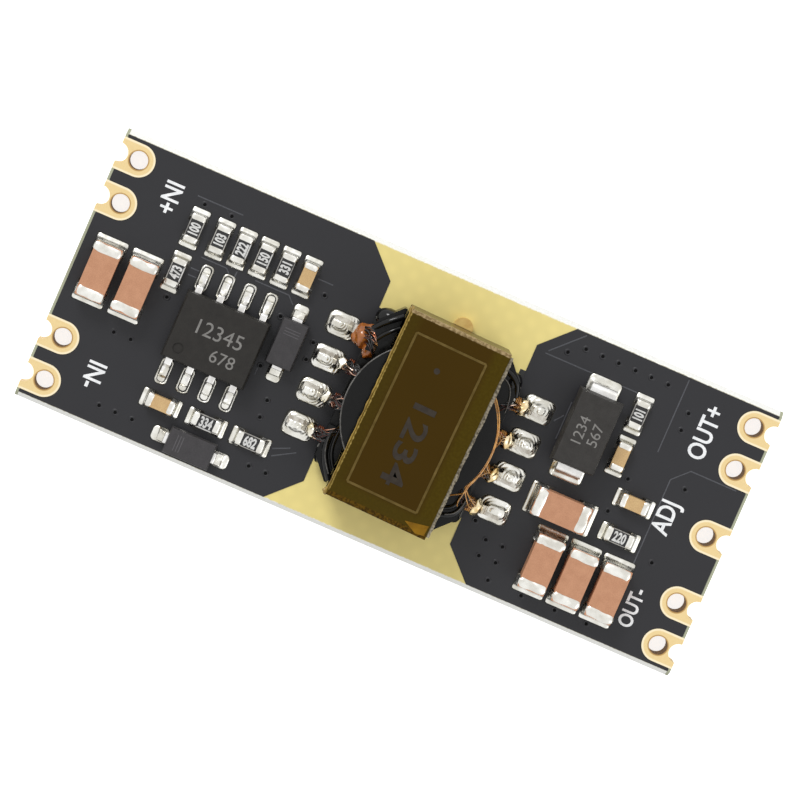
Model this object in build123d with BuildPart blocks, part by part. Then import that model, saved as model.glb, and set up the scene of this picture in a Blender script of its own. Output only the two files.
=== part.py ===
from build123d import *
import math
import os

# Isolated step-down converter module: a small circuit board with a wound
# transformer across a bare isolation gap, an input side to its left and an
# output side to its right. Millimetres. X runs along the board from the input
# end to the output end, Y across it and Z up. The origin lies under the
# middle of the board, on the surface that the module rests on.

# Board and its scored long edges
board_length = 39.0
board_width = 15.8
board_thickness = 1.6
score_width = 0.27
score_depth = 0.5

# Solder mask: a printed skin on both faces, held back from the end edges
mask_thickness = 0.03
mask_end_margin = 0.15
mask_opening_clearance = 0.05

# Isolation gap: a bare band of laminate that widens at the long edges
isolation_x = 1.24
isolation_width = 8.72
isolation_flare = 1.68

# Terminals: plated holes with a plated half hole at the board's end
terminal_plating = 0.05
terminal_barrel_wall = 0.04
terminal_hole_radius = 0.52
terminal_hole_inset = 1.2
terminal_notch_radius = 0.54
terminal_pad_radius = 0.92
terminal_pitch = 2.54
terminal_pair_y = 5.25

# Lands: tinned copper areas that the parts are soldered to
land_thickness = 0.04

# Large ceramic chips and their lands
large_chip_length = 3.2
large_chip_width = 1.6
large_chip_height = 1.6
large_cap_wrap = 0.5
large_land_length = 1.15
large_land_margin = 0.335
large_land_side_margin = 0.105

# Small ceramic chips, resistors and their lands
small_chip_length = 1.6
small_chip_width = 0.8
small_capacitor_height = 0.8
resistor_height = 0.45
small_cap_wrap = 0.33
small_land_length = 0.8
small_land_margin = 0.33
small_land_side_margin = 0.115

# End caps, edges and solder of every chip
cap_metal = 0.03
chip_edge_radius = 0.05
solder_climb = 0.55
solder_sag = 0.07

# Controller: an eight lead plastic package
controller_length = 4.9
controller_width = 3.9
controller_height = 1.45
controller_standoff = 0.1
controller_lead_pitch = 1.27
controller_leads_per_side = 4
controller_lead_width = 0.41
controller_lead_thickness = 0.2
controller_lead_span = 6.0
controller_lead_bend = 0.15
controller_foot_length = 0.55
controller_shoulder = 0.3
controller_land_length = 1.5
controller_land_width = 0.7
controller_land_margin = 0.5
pin_mark_radius = 0.3
pin_mark_depth = 0.08
pin_mark_inset = 0.75

# Small diodes
diode_length = 2.7
diode_width = 1.55
diode_height = 1.0
diode_standoff = 0.08
diode_lead_width = 0.6
diode_lead_thickness = 0.12
diode_lead_span = 3.7
diode_lead_bend = 0.09
diode_foot_length = 0.34
diode_shoulder = 0.12
diode_land_length = 1.0
diode_land_width = 0.85
diode_land_margin = 0.4

# Rectifier: a larger diode with leads folded under its body
rectifier_length = 4.3
rectifier_width = 2.6
rectifier_height = 2.0
rectifier_standoff = 0.2
rectifier_lead_width = 1.45
rectifier_lead_thickness = 0.15
rectifier_lead_reach = 0.38
rectifier_lead_bend = 0.16
rectifier_foot_length = 1.1
rectifier_land_length = 1.5
rectifier_land_width = 1.87
rectifier_land_margin = 0.42

# Moulded bodies
mould_draft = 7.0
mould_edge_radius = 0.06
lead_grip = 0.25

# Solder round flat leads
lead_solder_height = 0.14
lead_solder_round = 0.09
lead_land_round = 0.25

# Transformer: two ferrite halves on a wound bobbin, set slightly askew
transformer_turn = -1.7
transformer_x_shift = -0.06
transformer_y = -0.28
core_length = 10.9
core_width = 5.8
core_half_height = 2.45
core_plate = 0.95
core_post_radius = 2.1
core_cavity_radius = 4.35
core_edge_radius = 0.12
core_lift = 0.45
core_tape_thickness = 0.06
bobbin_clearance = 0.08
bobbin_wall = 0.35
bobbin_flange = 0.35
bobbin_flange_clearance = 0.12
rail_depth = 1.2
rail_length = 8.1
rail_tip_length = 1.15
rail_tip_depth = 0.15
rail_foot = 0.15
rail_slot_width = 0.5
rail_slot_depth = 0.7
pins_per_side = 4
pin_pitch = 2.0
pin_width = 0.5
pin_thickness = 0.4
pin_height = 1.0
pin_grip = 0.6
pin_knee = 0.85
pin_slope = 0.3
pin_foot_length = 1.0
pin_bend = 0.25
primary_build = 0.55
secondary_build = 0.6
layer_tape = 0.06
winding_end_clearance = 0.05
wrap_turns = 3
wrap_wire_radius = 0.11
wrap_clearance = 0.06
lead_wire_radius = 0.1
lead_wire_clearance = 0.02
lead_wire_start = 40.0
lead_wire_end = -30.0
lead_wire_run_on = 0.4
lead_wire_bend = 0.3
bead_wall = 0.06
bead_crown = 0.08
bead_clearance = 0.02
glue_radius = 0.55
glue_height = 0.5
glue_x_shift = 0.15
transformer_land_length = 1.78
transformer_land_width = 1.4
transformer_land_round = 0.35
transformer_land_gap = 0.68
transformer_solder_height = 0.55
transformer_solder_inset = 0.05
transformer_solder_taper = 28.0

# Spacing of the parts: gaps between the lands or bodies of neighbours
input_capacitor_gap = 0.3
input_capacitor_y = 0.18
sense_resistor_gap = 0.28
sense_row_gap = 0.33
controller_gap = 0.49
controller_y = -0.7
row_gap = 0.42
row_first_gap = 0.48
row_step_gap = 0.26
row_resistors = 5
clamp_diode_gap = 0.7
controller_diode_gap = 0.43
clamp_diode_offset = 1.3
lower_row_offset = -1.38
lower_row_gaps = (0.44, 0.35)
supply_diode_gap = 0.3
supply_diode_offset = 1.04
rectifier_gap = 0.64
rectifier_y = 2.77
snubber_gap = 0.51
snubber_column_offset = 0.66
snubber_pair_gap = 0.23
output_bulk_gap = 0.6
output_bulk_offset = 0.48
output_row_gap = 0.28
output_row_step_gap = 0.175
output_row_offset = 0.66
output_row_count = 3
feedback_gap = 0.51
feedback_pair_gap = 0.98
feedback_offset = 0.85

# Heights worked out from the stack
laminate_bottom = terminal_plating
board_top = laminate_bottom + board_thickness
land_top = board_top + land_thickness
mask_edge_y = board_width / 2 - score_width
flange_radius = core_cavity_radius - bobbin_flange_clearance

# Land sizes worked out from the parts
large_land_span = large_chip_length + 2 * large_land_margin
large_land_width = large_chip_width + 2 * large_land_side_margin
small_land_span = small_chip_length + 2 * small_land_margin
small_land_width = small_chip_width + 2 * small_land_side_margin
controller_land_span = controller_lead_span + 2 * controller_land_margin
diode_land_span = diode_lead_span + 2 * diode_land_margin
rectifier_span = rectifier_length + 2 * rectifier_lead_reach + rectifier_lead_thickness
rectifier_land_span = rectifier_span + 2 * rectifier_land_margin

# Turns of the parts on the board
across = 90.0
along = 0.0

# Places of the transformer and its lands
transformer_x = isolation_x + transformer_x_shift
rail_inner = core_width / 2 + core_tape_thickness + bobbin_clearance
rail_outer = rail_inner + rail_depth
transformer_land_x = rail_outer + transformer_land_gap + transformer_land_length / 2
pin_offsets = [
    (index - (pins_per_side - 1) / 2) * pin_pitch for index in range(pins_per_side)
]

# Places of the input side, each as x, y and turn in degrees, counted from the transformer
clamp_diode_x = (
    isolation_x - transformer_land_x - transformer_land_length / 2
    - clamp_diode_gap - diode_width / 2
)
controller_x = clamp_diode_x - diode_width / 2 - controller_diode_gap - controller_length / 2
sense_resistor_x = controller_x - controller_length / 2 - controller_gap - small_land_width / 2
input_capacitor_step = large_land_width + input_capacitor_gap
inner_capacitor_x = (
    sense_resistor_x - small_land_width / 2 - sense_resistor_gap - large_land_width / 2
)
input_capacitor_places = [
    (inner_capacitor_x - input_capacitor_step, input_capacitor_y, across),
    (inner_capacitor_x, input_capacitor_y, across),
]
row_y = controller_y + controller_land_span / 2 + row_gap + small_land_span / 2
row_first_step = small_land_width + row_first_gap
row_step = small_land_width + row_step_gap
row_x = [sense_resistor_x]
for step in range(row_resistors):
    row_x.append(sense_resistor_x + row_first_step + step * row_step)
supply_capacitor_place = (row_x[-1], row_y, across)
sense_resistor_y = row_y - small_land_span - sense_row_gap
lower_row_y = controller_y - controller_land_span / 2 - row_gap - small_land_width / 2
timing_capacitor_place = (controller_x + lower_row_offset, lower_row_y, along)
lower_resistor_x = timing_capacitor_place[0] + small_land_span + lower_row_gaps[0]
lower_resistor_places = [
    (lower_resistor_x, lower_row_y, along),
    (lower_resistor_x + small_land_span + lower_row_gaps[1], lower_row_y, along),
]
controller_place = (controller_x, controller_y, along)
clamp_diode_place = (clamp_diode_x, controller_y + clamp_diode_offset, across)
supply_diode_place = (
    controller_x + supply_diode_offset,
    lower_row_y - small_land_width / 2 - supply_diode_gap - diode_width / 2,
    along,
)

# Places of the output side
rectifier_place = (
    isolation_x + transformer_land_x + transformer_land_length / 2
    + rectifier_gap + rectifier_width / 2,
    rectifier_y,
    across,
)
rectifier_x = rectifier_place[0]
snubber_x = rectifier_x + rectifier_width / 2 + snubber_gap + small_land_width / 2
snubber_y = rectifier_y + snubber_column_offset
snubber_half_step = (small_land_span + snubber_pair_gap) / 2
snubber_resistor_place = (snubber_x, snubber_y + snubber_half_step, across)
snubber_capacitor_place = (snubber_x, snubber_y - snubber_half_step, across)
output_bulk_place = (
    rectifier_x + output_bulk_offset,
    rectifier_y - rectifier_land_span / 2 - output_bulk_gap - large_land_width / 2,
    along,
)
output_row_y = (
    output_bulk_place[1] - large_land_width / 2 - output_row_gap - large_land_span / 2
)
output_row_step = large_land_width + output_row_step_gap
output_capacitor_places = [output_bulk_place]
for step in range(output_row_count):
    row_place_x = rectifier_x + output_row_offset + step * output_row_step
    output_capacitor_places.append((row_place_x, output_row_y, across))
feedback_x = output_bulk_place[0] + large_land_span / 2 + feedback_gap + small_land_span / 2
feedback_y = output_bulk_place[1] + feedback_offset
feedback_half_step = (small_land_width + feedback_pair_gap) / 2
feedback_capacitor_place = (feedback_x, feedback_y + feedback_half_step, along)
adjust_resistor_place = (feedback_x, feedback_y - feedback_half_step, along)

large_capacitors = {}
for index, place in enumerate(input_capacitor_places):
    large_capacitors[f"input_capacitor_{index + 1}"] = place
for index, place in enumerate(output_capacitor_places):
    large_capacitors[f"output_capacitor_{index + 1}"] = place
small_capacitors = {
    "supply_capacitor": supply_capacitor_place,
    "timing_capacitor": timing_capacitor_place,
    "snubber_capacitor": snubber_capacitor_place,
    "feedback_capacitor": feedback_capacitor_place,
}
resistors = {"sense_resistor": (sense_resistor_x, sense_resistor_y, across)}
for index, x in enumerate(row_x[:-1]):
    resistors[f"control_resistor_{index + 1}"] = (x, row_y, across)
for index, place in enumerate(lower_resistor_places):
    resistors[f"timing_resistor_{index + 1}"] = place
resistors["snubber_resistor"] = snubber_resistor_place
resistors["adjust_resistor"] = adjust_resistor_place
small_diodes = {
    "clamp_diode_body": clamp_diode_place,
    "supply_diode_body": supply_diode_place,
}

# Terminals, each as name, end of the board and y
upper_rows = (terminal_pair_y + terminal_pitch / 2, terminal_pair_y - terminal_pitch / 2)
terminals = []
for index, y in enumerate(upper_rows):
    terminals.append((f"input_positive_terminal_{index + 1}", -1, y))
    terminals.append((f"input_negative_terminal_{index + 1}", -1, -y))
    terminals.append((f"output_positive_terminal_{index + 1}", 1, y))
    terminals.append((f"output_negative_terminal_{index + 1}", 1, -y))
terminals.append(("adjust_terminal", 1, 0.0))

os.makedirs("parts", exist_ok=True)


def finish(builder, name):
    """Label a finished piece and write its file."""
    builder.part.label = name
    export_step(builder.part, f"parts/{name}.step")


def seat(place, height, turn=0.0):
    """Plane at a place on the board, its x turned along the part."""
    angle = math.radians(place[2] + turn)
    x_axis = (math.cos(angle), math.sin(angle), 0)
    return Plane(origin=(place[0], place[1], height), x_dir=x_axis, z_dir=(0, 0, 1))


def upright(base):
    """Plane through a seat's origin, its x along the part and its y up."""
    return Plane(origin=base.origin, x_dir=base.x_dir, z_dir=-base.y_dir)


def land_pair(place, span, length, width):
    """The two lands of a part, each as x, y, length, width and turn."""
    reach = (span - length) / 2
    angle = math.radians(place[2])
    pair = []
    for side in (-1, 1):
        x = place[0] + side * reach * math.cos(angle)
        y = place[1] + side * reach * math.sin(angle)
        pair.append((x, y, length, width, place[2]))
    return pair


def draw_lands(lands, growth=0.0, corner=0.0):
    """Draw lands in the current sketch, each side moved out by growth."""
    for x, y, length, width, turn in lands:
        with Locations((x, y)):
            if corner > 0:
                RectangleRounded(length + 2 * growth, width + 2 * growth, corner + growth, turn)
            else:
                Rectangle(length + 2 * growth, width + 2 * growth, turn)


def draw_terminal(end, y, growth=0.0):
    """Draw a terminal's pad: a disc run out straight to the board's end."""
    radius = terminal_pad_radius + growth
    hole_x = end * (board_length / 2 - terminal_hole_inset)
    with Locations((hole_x, y)):
        Circle(radius)
    with Locations((hole_x + end * terminal_hole_inset / 2, y)):
        Rectangle(terminal_hole_inset, 2 * radius)


# Lands of every part, by the shape of their corners
square_lands = []
for place in large_capacitors.values():
    square_lands += land_pair(place, large_land_span, large_land_length, large_land_width)
for place in list(small_capacitors.values()) + list(resistors.values()):
    square_lands += land_pair(place, small_land_span, small_land_length, small_land_width)
square_lands += land_pair(
    rectifier_place, rectifier_land_span, rectifier_land_length, rectifier_land_width
)
lead_lands = []
controller_rows = [
    (index - (controller_leads_per_side - 1) / 2) * controller_lead_pitch
    for index in range(controller_leads_per_side)
]
for offset in controller_rows:
    column = (controller_x + offset, controller_y, across)
    lead_lands += land_pair(
        column, controller_land_span, controller_land_length, controller_land_width
    )
for place in small_diodes.values():
    lead_lands += land_pair(place, diode_land_span, diode_land_length, diode_land_width)
transformer_lands = []
for offset in pin_offsets:
    row = (isolation_x, transformer_y + offset, along)
    full_span = 2 * transformer_land_x + transformer_land_length
    transformer_lands += land_pair(
        row, full_span, transformer_land_length, transformer_land_width
    )

# Laminate: a glass fibre sheet with scored long edges, holes and half holes
with BuildPart() as printed_board_laminate:
    with BuildSketch(Plane.YZ.offset(-board_length / 2)):
        half = board_width / 2
        top = board_top
        bottom = laminate_bottom
        with BuildLine():
            Polyline(
                (-half + score_width, bottom),
                (half - score_width, bottom),
                (half, bottom + score_depth),
                (half, top - score_depth),
                (half - score_width, top),
                (-half + score_width, top),
                (-half, top - score_depth),
                (-half, bottom + score_depth),
                close=True,
            )
        make_face()
    extrude(amount=board_length)
    with BuildSketch(Plane.XY):
        for name, end, y in terminals:
            with Locations((end * (board_length / 2 - terminal_hole_inset), y)):
                Circle(terminal_hole_radius + terminal_barrel_wall)
            with Locations((end * board_length / 2, y)):
                Circle(terminal_notch_radius + terminal_barrel_wall)
    extrude(amount=board_top, mode=Mode.SUBTRACT)
finish(printed_board_laminate, "printed_board_laminate")


def solder_mask(name, end):
    """Printed skin of one side, on both faces, open round lands and terminals."""
    end_x = end * (board_length / 2 - mask_end_margin)
    inner_x = isolation_x + end * isolation_width / 2
    flare_x = inner_x + end * isolation_flare
    flare_y = mask_edge_y - isolation_flare
    levels = ((board_top, True), (laminate_bottom - mask_thickness, False))
    with BuildPart() as mask:
        for level, open_lands in levels:
            with BuildSketch(Plane.XY.offset(level)):
                with BuildLine():
                    Polyline(
                        (end_x, -mask_edge_y),
                        (flare_x, -mask_edge_y),
                        (inner_x, -flare_y),
                        (inner_x, flare_y),
                        (flare_x, mask_edge_y),
                        (end_x, mask_edge_y),
                        close=True,
                    )
                make_face()
            extrude(amount=mask_thickness)
            with BuildSketch(Plane.XY.offset(level)):
                for terminal_name, terminal_end, y in terminals:
                    if terminal_end == end:
                        draw_terminal(terminal_end, y, mask_opening_clearance)
                if open_lands:
                    near_square = [land for land in square_lands if land[0] * end > 0]
                    near_lead = [land for land in lead_lands if land[0] * end > 0]
                    near_pins = [land for land in transformer_lands if land[0] * end > 0]
                    draw_lands(near_square, mask_opening_clearance)
                    draw_lands(near_lead, mask_opening_clearance, lead_land_round)
                    draw_lands(near_pins, mask_opening_clearance, transformer_land_round)
            extrude(amount=mask_thickness, mode=Mode.SUBTRACT)
    finish(mask, name)


solder_mask("input_solder_mask", -1)
solder_mask("output_solder_mask", 1)


def terminal(name, end, y):
    """Plated terminal: a pad on each face, the hole's barrel and the half hole."""
    end_x = end * board_length / 2
    hole_x = end_x - end * terminal_hole_inset
    full_height = board_top + terminal_plating
    with BuildPart() as plated:
        for level in (0.0, board_top):
            with BuildSketch(Plane.XY.offset(level)):
                draw_terminal(end, y)
            extrude(amount=terminal_plating)
        with BuildSketch(Plane.XY):
            with Locations((hole_x, y)):
                Circle(terminal_hole_radius + terminal_barrel_wall)
            with Locations((end_x, y)):
                Circle(terminal_notch_radius + terminal_barrel_wall)
            with Locations((end_x + end * terminal_pad_radius, y)):
                Rectangle(2 * terminal_pad_radius, 2 * terminal_pad_radius, mode=Mode.SUBTRACT)
        extrude(amount=full_height)
        with BuildSketch(Plane.XY):
            with Locations((hole_x, y)):
                Circle(terminal_hole_radius)
            with Locations((end_x, y)):
                Circle(terminal_notch_radius)
        extrude(amount=full_height, mode=Mode.SUBTRACT)
    finish(plated, name)


for name, end, y in terminals:
    terminal(name, end, y)

# Lands: flat copper areas in the openings of the mask
with BuildPart() as component_lands:
    with BuildSketch(Plane.XY.offset(board_top)):
        draw_lands(square_lands)
        draw_lands(lead_lands, corner=lead_land_round)
        draw_lands(transformer_lands, corner=transformer_land_round)
    extrude(amount=land_thickness)
finish(component_lands, "component_lands")


def chip_core(name, place, length, width, height):
    """Ceramic block of a chip, inside its end caps."""
    with BuildPart() as block:
        with BuildSketch(seat(place, land_top + cap_metal)):
            Rectangle(length - 2 * cap_metal, width - 2 * cap_metal)
        extrude(amount=height - 2 * cap_metal)
        fillet(block.edges().filter_by(Axis.Z), chip_edge_radius)
    finish(block, name)


def end_caps(name, places, length, width, height, wrap):
    """Metal cups round both ends of each chip."""
    with BuildPart() as caps:
        for place in places:
            with BuildSketch(seat(place, land_top)):
                with Locations((-(length - wrap) / 2, 0), ((length - wrap) / 2, 0)):
                    Rectangle(wrap, width)
            extrude(amount=height)
        fillet(caps.edges().filter_by(Axis.Z), chip_edge_radius)
        for place in places:
            with BuildSketch(seat(place, land_top + cap_metal)):
                Rectangle(length - 2 * cap_metal, width - 2 * cap_metal)
            extrude(amount=height - 2 * cap_metal, mode=Mode.SUBTRACT)
    finish(caps, name)


for name, place in large_capacitors.items():
    chip_core(name, place, large_chip_length, large_chip_width, large_chip_height)
end_caps(
    "large_capacitor_end_caps", large_capacitors.values(),
    large_chip_length, large_chip_width, large_chip_height, large_cap_wrap,
)
for name, place in small_capacitors.items():
    chip_core(name, place, small_chip_length, small_chip_width, small_capacitor_height)
end_caps(
    "small_capacitor_end_caps", small_capacitors.values(),
    small_chip_length, small_chip_width, small_capacitor_height, small_cap_wrap,
)
for name, place in resistors.items():
    chip_core(name, place, small_chip_length, small_chip_width, resistor_height)
end_caps(
    "resistor_end_caps", resistors.values(),
    small_chip_length, small_chip_width, resistor_height, small_cap_wrap,
)

# Glaze printed on top of each resistor, level with its end caps
with BuildPart() as resistor_overcoats:
    for place in resistors.values():
        with BuildSketch(seat(place, land_top + resistor_height - cap_metal)):
            Rectangle(small_chip_length - 2 * small_cap_wrap, small_chip_width - 2 * cap_metal)
        extrude(amount=cap_metal)
finish(resistor_overcoats, "resistor_overcoats")

# Solder that climbs from each land up the end of its chip
chip_rows = [
    (large_capacitors, large_chip_length, large_chip_height, large_land_span, large_land_width),
    (small_capacitors, small_chip_length, small_capacitor_height, small_land_span, small_land_width),
    (resistors, small_chip_length, resistor_height, small_land_span, small_land_width),
]
with BuildPart() as chip_solder_fillets:
    for chips, length, height, span, width in chip_rows:
        for place in chips.values():
            for half_turn in (0.0, 180.0):
                climb = solder_climb * height
                toe = span / 2
                heel = length / 2
                middle = (
                    (toe + heel) / 2 - solder_sag * climb,
                    climb / 2 - solder_sag * (toe - heel),
                )
                with BuildSketch(upright(seat(place, land_top, half_turn))):
                    with BuildLine():
                        Polyline((heel, climb), (heel, 0), (toe, 0))
                        ThreePointArc((toe, 0), middle, (heel, climb))
                    make_face()
                extrude(amount=width / 2, both=True)
finish(chip_solder_fillets, "chip_solder_fillets")


def bent_leads(name, seats, route, bend, width, thickness):
    """Flat metal leads, each swept along a bent route that starts in its body."""
    with BuildPart() as leads:
        for base in seats:
            with BuildLine(upright(base)) as line:
                FilletPolyline(*route, radius=bend)
            start = line.line @ 0
            section = Plane(origin=start, x_dir=base.y_dir, z_dir=line.line % 0)
            with BuildSketch(section):
                Rectangle(width, thickness)
            sweep(path=line.line)
    finish(leads, name)
    return leads.part


def moulded_body(name, place, size, standoff, leads, mark=None):
    """Moulded package: two halves that taper away from a middle parting line."""
    length, width, height = size
    parting = land_top + standoff + height / 2
    with BuildPart() as body:
        for direction in (1, -1):
            base = seat(place, parting)
            with BuildSketch(base):
                Rectangle(length, width)
            extrude(amount=direction * height / 2, taper=mould_draft)
        fillet(body.faces().sort_by(Axis.Z)[-1].edges(), mould_edge_radius)
        if mark:
            with BuildSketch(seat(place, parting + height / 2)):
                with Locations(mark):
                    Circle(pin_mark_radius)
            extrude(amount=-pin_mark_depth, mode=Mode.SUBTRACT)
        add(leads, mode=Mode.SUBTRACT)
    finish(body, name)


# Controller: gull wing leads on both long sides
controller_seats = []
for offset in controller_rows:
    for turn in (across, -across):
        controller_seats.append(seat((controller_x + offset, controller_y, turn), land_top))
controller_exit = controller_standoff + controller_height / 2
controller_edge = controller_width / 2
controller_toe = controller_lead_span / 2
controller_route = [
    (controller_edge - lead_grip, controller_exit),
    (controller_edge + controller_shoulder, controller_exit),
    (controller_toe - controller_foot_length, controller_lead_thickness / 2),
    (controller_toe, controller_lead_thickness / 2),
]
controller_lead_part = bent_leads(
    "controller_leads", controller_seats, controller_route,
    controller_lead_bend, controller_lead_width, controller_lead_thickness,
)
controller_mark = (-controller_length / 2 + pin_mark_inset, -controller_width / 2 + pin_mark_inset)
moulded_body(
    "controller_body", controller_place,
    (controller_length, controller_width, controller_height),
    controller_standoff, controller_lead_part, controller_mark,
)

# Small diodes: one flat lead at each end
diode_seats = []
for x, y, turn in small_diodes.values():
    for half_turn in (0.0, 180.0):
        diode_seats.append(seat((x, y, turn), land_top, half_turn))
diode_exit = diode_standoff + diode_height / 2
diode_toe = diode_lead_span / 2
diode_route = [
    (diode_length / 2 - lead_grip, diode_exit),
    (diode_length / 2 + diode_shoulder, diode_exit),
    (diode_toe - diode_foot_length, diode_lead_thickness / 2),
    (diode_toe, diode_lead_thickness / 2),
]
diode_lead_part = bent_leads(
    "small_diode_leads", diode_seats, diode_route,
    diode_lead_bend, diode_lead_width, diode_lead_thickness,
)
for name, place in small_diodes.items():
    moulded_body(
        name, place, (diode_length, diode_width, diode_height),
        diode_standoff, diode_lead_part,
    )

# Rectifier: a wide lead at each end, folded down and under the body
rectifier_seats = [seat(rectifier_place, land_top, half_turn) for half_turn in (0.0, 180.0)]
rectifier_exit = rectifier_standoff + rectifier_height / 2
rectifier_fold = rectifier_length / 2 + rectifier_lead_reach
rectifier_route = [
    (rectifier_length / 2 - lead_grip, rectifier_exit),
    (rectifier_fold, rectifier_exit),
    (rectifier_fold, rectifier_lead_thickness / 2),
    (rectifier_fold - rectifier_foot_length, rectifier_lead_thickness / 2),
]
rectifier_lead_part = bent_leads(
    "rectifier_leads", rectifier_seats, rectifier_route,
    rectifier_lead_bend, rectifier_lead_width, rectifier_lead_thickness,
)
moulded_body(
    "rectifier_body", rectifier_place,
    (rectifier_length, rectifier_width, rectifier_height),
    rectifier_standoff, rectifier_lead_part,
)

# Solder pillows round the feet of the flat leads
rectifier_lands = land_pair(
    rectifier_place, rectifier_land_span, rectifier_land_length, rectifier_land_width
)
with BuildPart() as lead_solder_fillets:
    with BuildSketch(Plane.XY.offset(land_top)):
        draw_lands(lead_lands, corner=lead_land_round)
        draw_lands(rectifier_lands, corner=lead_land_round)
    extrude(amount=lead_solder_height)
    fillet(lead_solder_fillets.edges().group_by(Axis.Z)[-1], lead_solder_round)
    add(controller_lead_part, mode=Mode.SUBTRACT)
    add(diode_lead_part, mode=Mode.SUBTRACT)
    add(rectifier_lead_part, mode=Mode.SUBTRACT)
finish(lead_solder_fillets, "lead_solder_fillets")

# Transformer: its planes are turned together, because it sits askew
core_bottom = board_top + core_lift
core_middle = core_bottom + core_half_height
core_top = core_middle + core_half_height
transformer_place = (transformer_x, transformer_y, transformer_turn)
cavity_height = core_half_height - core_plate
bobbin_bottom = core_bottom + core_plate + bobbin_clearance
bobbin_top = core_top - core_plate - bobbin_clearance
tube_inner = core_post_radius + bobbin_clearance
tube_outer = tube_inner + bobbin_wall


def core_half(name, outer_level, direction):
    """Ferrite half: a plate, a round post and two legs with a round cavity."""
    with BuildPart() as half_core:
        with BuildSketch(seat(transformer_place, outer_level)):
            Rectangle(core_width, core_length)
        extrude(amount=direction * core_half_height)
        fillet(half_core.edges().filter_by(Axis.Z), core_edge_radius)
        cavity_level = outer_level + direction * core_plate
        with BuildSketch(seat(transformer_place, cavity_level)):
            Circle(core_cavity_radius)
            Circle(core_post_radius, mode=Mode.SUBTRACT)
        extrude(amount=direction * cavity_height, mode=Mode.SUBTRACT)
    finish(half_core, name)


core_half("lower_core", core_bottom, 1)
core_half("upper_core", core_top, -1)

# Bobbin: a tube with two round flanges and two rails that hold the pins
rail_top = bobbin_bottom + bobbin_flange
rail_half = rail_length / 2
tip_end = rail_half + rail_tip_length
slot_offsets = [
    (index - (pins_per_side - 2) / 2) * pin_pitch for index in range(pins_per_side - 1)
]
with BuildPart() as transformer_bobbin:
    with BuildSketch(seat(transformer_place, bobbin_bottom)):
        Circle(flange_radius)
    extrude(amount=bobbin_flange)
    with BuildSketch(seat(transformer_place, bobbin_top - bobbin_flange)):
        Circle(flange_radius)
    extrude(amount=bobbin_flange)
    with BuildSketch(seat(transformer_place, bobbin_bottom)):
        Circle(tube_outer)
    extrude(amount=bobbin_top - bobbin_bottom)
    with BuildSketch(seat(transformer_place, bobbin_bottom)):
        Circle(tube_inner)
    extrude(amount=bobbin_top - bobbin_bottom, mode=Mode.SUBTRACT)
    for side in (-1, 1):
        with BuildSketch(seat(transformer_place, board_top + rail_foot)):
            with BuildLine():
                Polyline(
                    (side * rail_inner, -tip_end),
                    (side * (rail_inner + rail_tip_depth), -tip_end),
                    (side * rail_outer, -rail_half),
                    (side * rail_outer, rail_half),
                    (side * (rail_inner + rail_tip_depth), tip_end),
                    (side * rail_inner, tip_end),
                    close=True,
                )
            make_face()
        extrude(amount=rail_top - board_top - rail_foot)
    with BuildSketch(seat(transformer_place, rail_top)):
        for side in (-1, 1):
            for offset in slot_offsets:
                with Locations((side * (rail_outer - rail_slot_depth / 2), offset)):
                    Rectangle(rail_slot_depth, rail_slot_width)
    extrude(amount=-rail_slot_depth, mode=Mode.SUBTRACT)

# Pins: one bent strip for each land, gripped by the rails
pin_seats = []
for turn in (0.0, 180.0):
    base = seat(transformer_place, board_top, turn)
    for offset in pin_offsets:
        pin_seats.append(Plane(
            origin=base.from_local_coords(Vector(0, offset, 0)), x_dir=base.x_dir, z_dir=base.z_dir
        ))
foot_level = land_thickness + pin_thickness / 2
pin_route = [
    (rail_outer - pin_grip, pin_height),
    (rail_outer + pin_knee, pin_height),
    (rail_outer + pin_knee + pin_slope, foot_level),
    (rail_outer + pin_knee + pin_slope + pin_foot_length, foot_level),
]
pin_part = bent_leads(
    "transformer_pins", pin_seats, pin_route, pin_bend, pin_width, pin_thickness
)
with transformer_bobbin:
    add(pin_part, mode=Mode.SUBTRACT)
finish(transformer_bobbin, "transformer_bobbin")

# Windings and the tape between and round them
winding_bottom = bobbin_bottom + bobbin_flange + winding_end_clearance
winding_top = bobbin_top - bobbin_flange - winding_end_clearance


def winding_ring(name, inner, build):
    """Wound layer round the bobbin's tube, as one ring of its true section."""
    with BuildPart() as ring:
        with BuildSketch(seat(transformer_place, winding_bottom)):
            Circle(inner + build)
            Circle(inner, mode=Mode.SUBTRACT)
        extrude(amount=winding_top - winding_bottom)
    finish(ring, name)
    return inner + build


primary_outer = winding_ring("primary_winding", tube_outer, primary_build)
barrier_outer = winding_ring("barrier_tape", primary_outer, layer_tape)
secondary_outer = winding_ring("secondary_winding", barrier_outer, secondary_build)
winding_ring("winding_tape", secondary_outer, layer_tape)

# Tape wound lengthways round both core halves
with BuildPart() as core_tape:
    base = seat(transformer_place, core_middle, across)
    with BuildSketch(upright(base)):
        Rectangle(core_length + 2 * core_tape_thickness, 2 * (core_half_height + core_tape_thickness))
        Rectangle(core_length, 2 * core_half_height, mode=Mode.SUBTRACT)
    extrude(amount=core_width / 2, both=True)
finish(core_tape, "core_tape")

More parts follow.
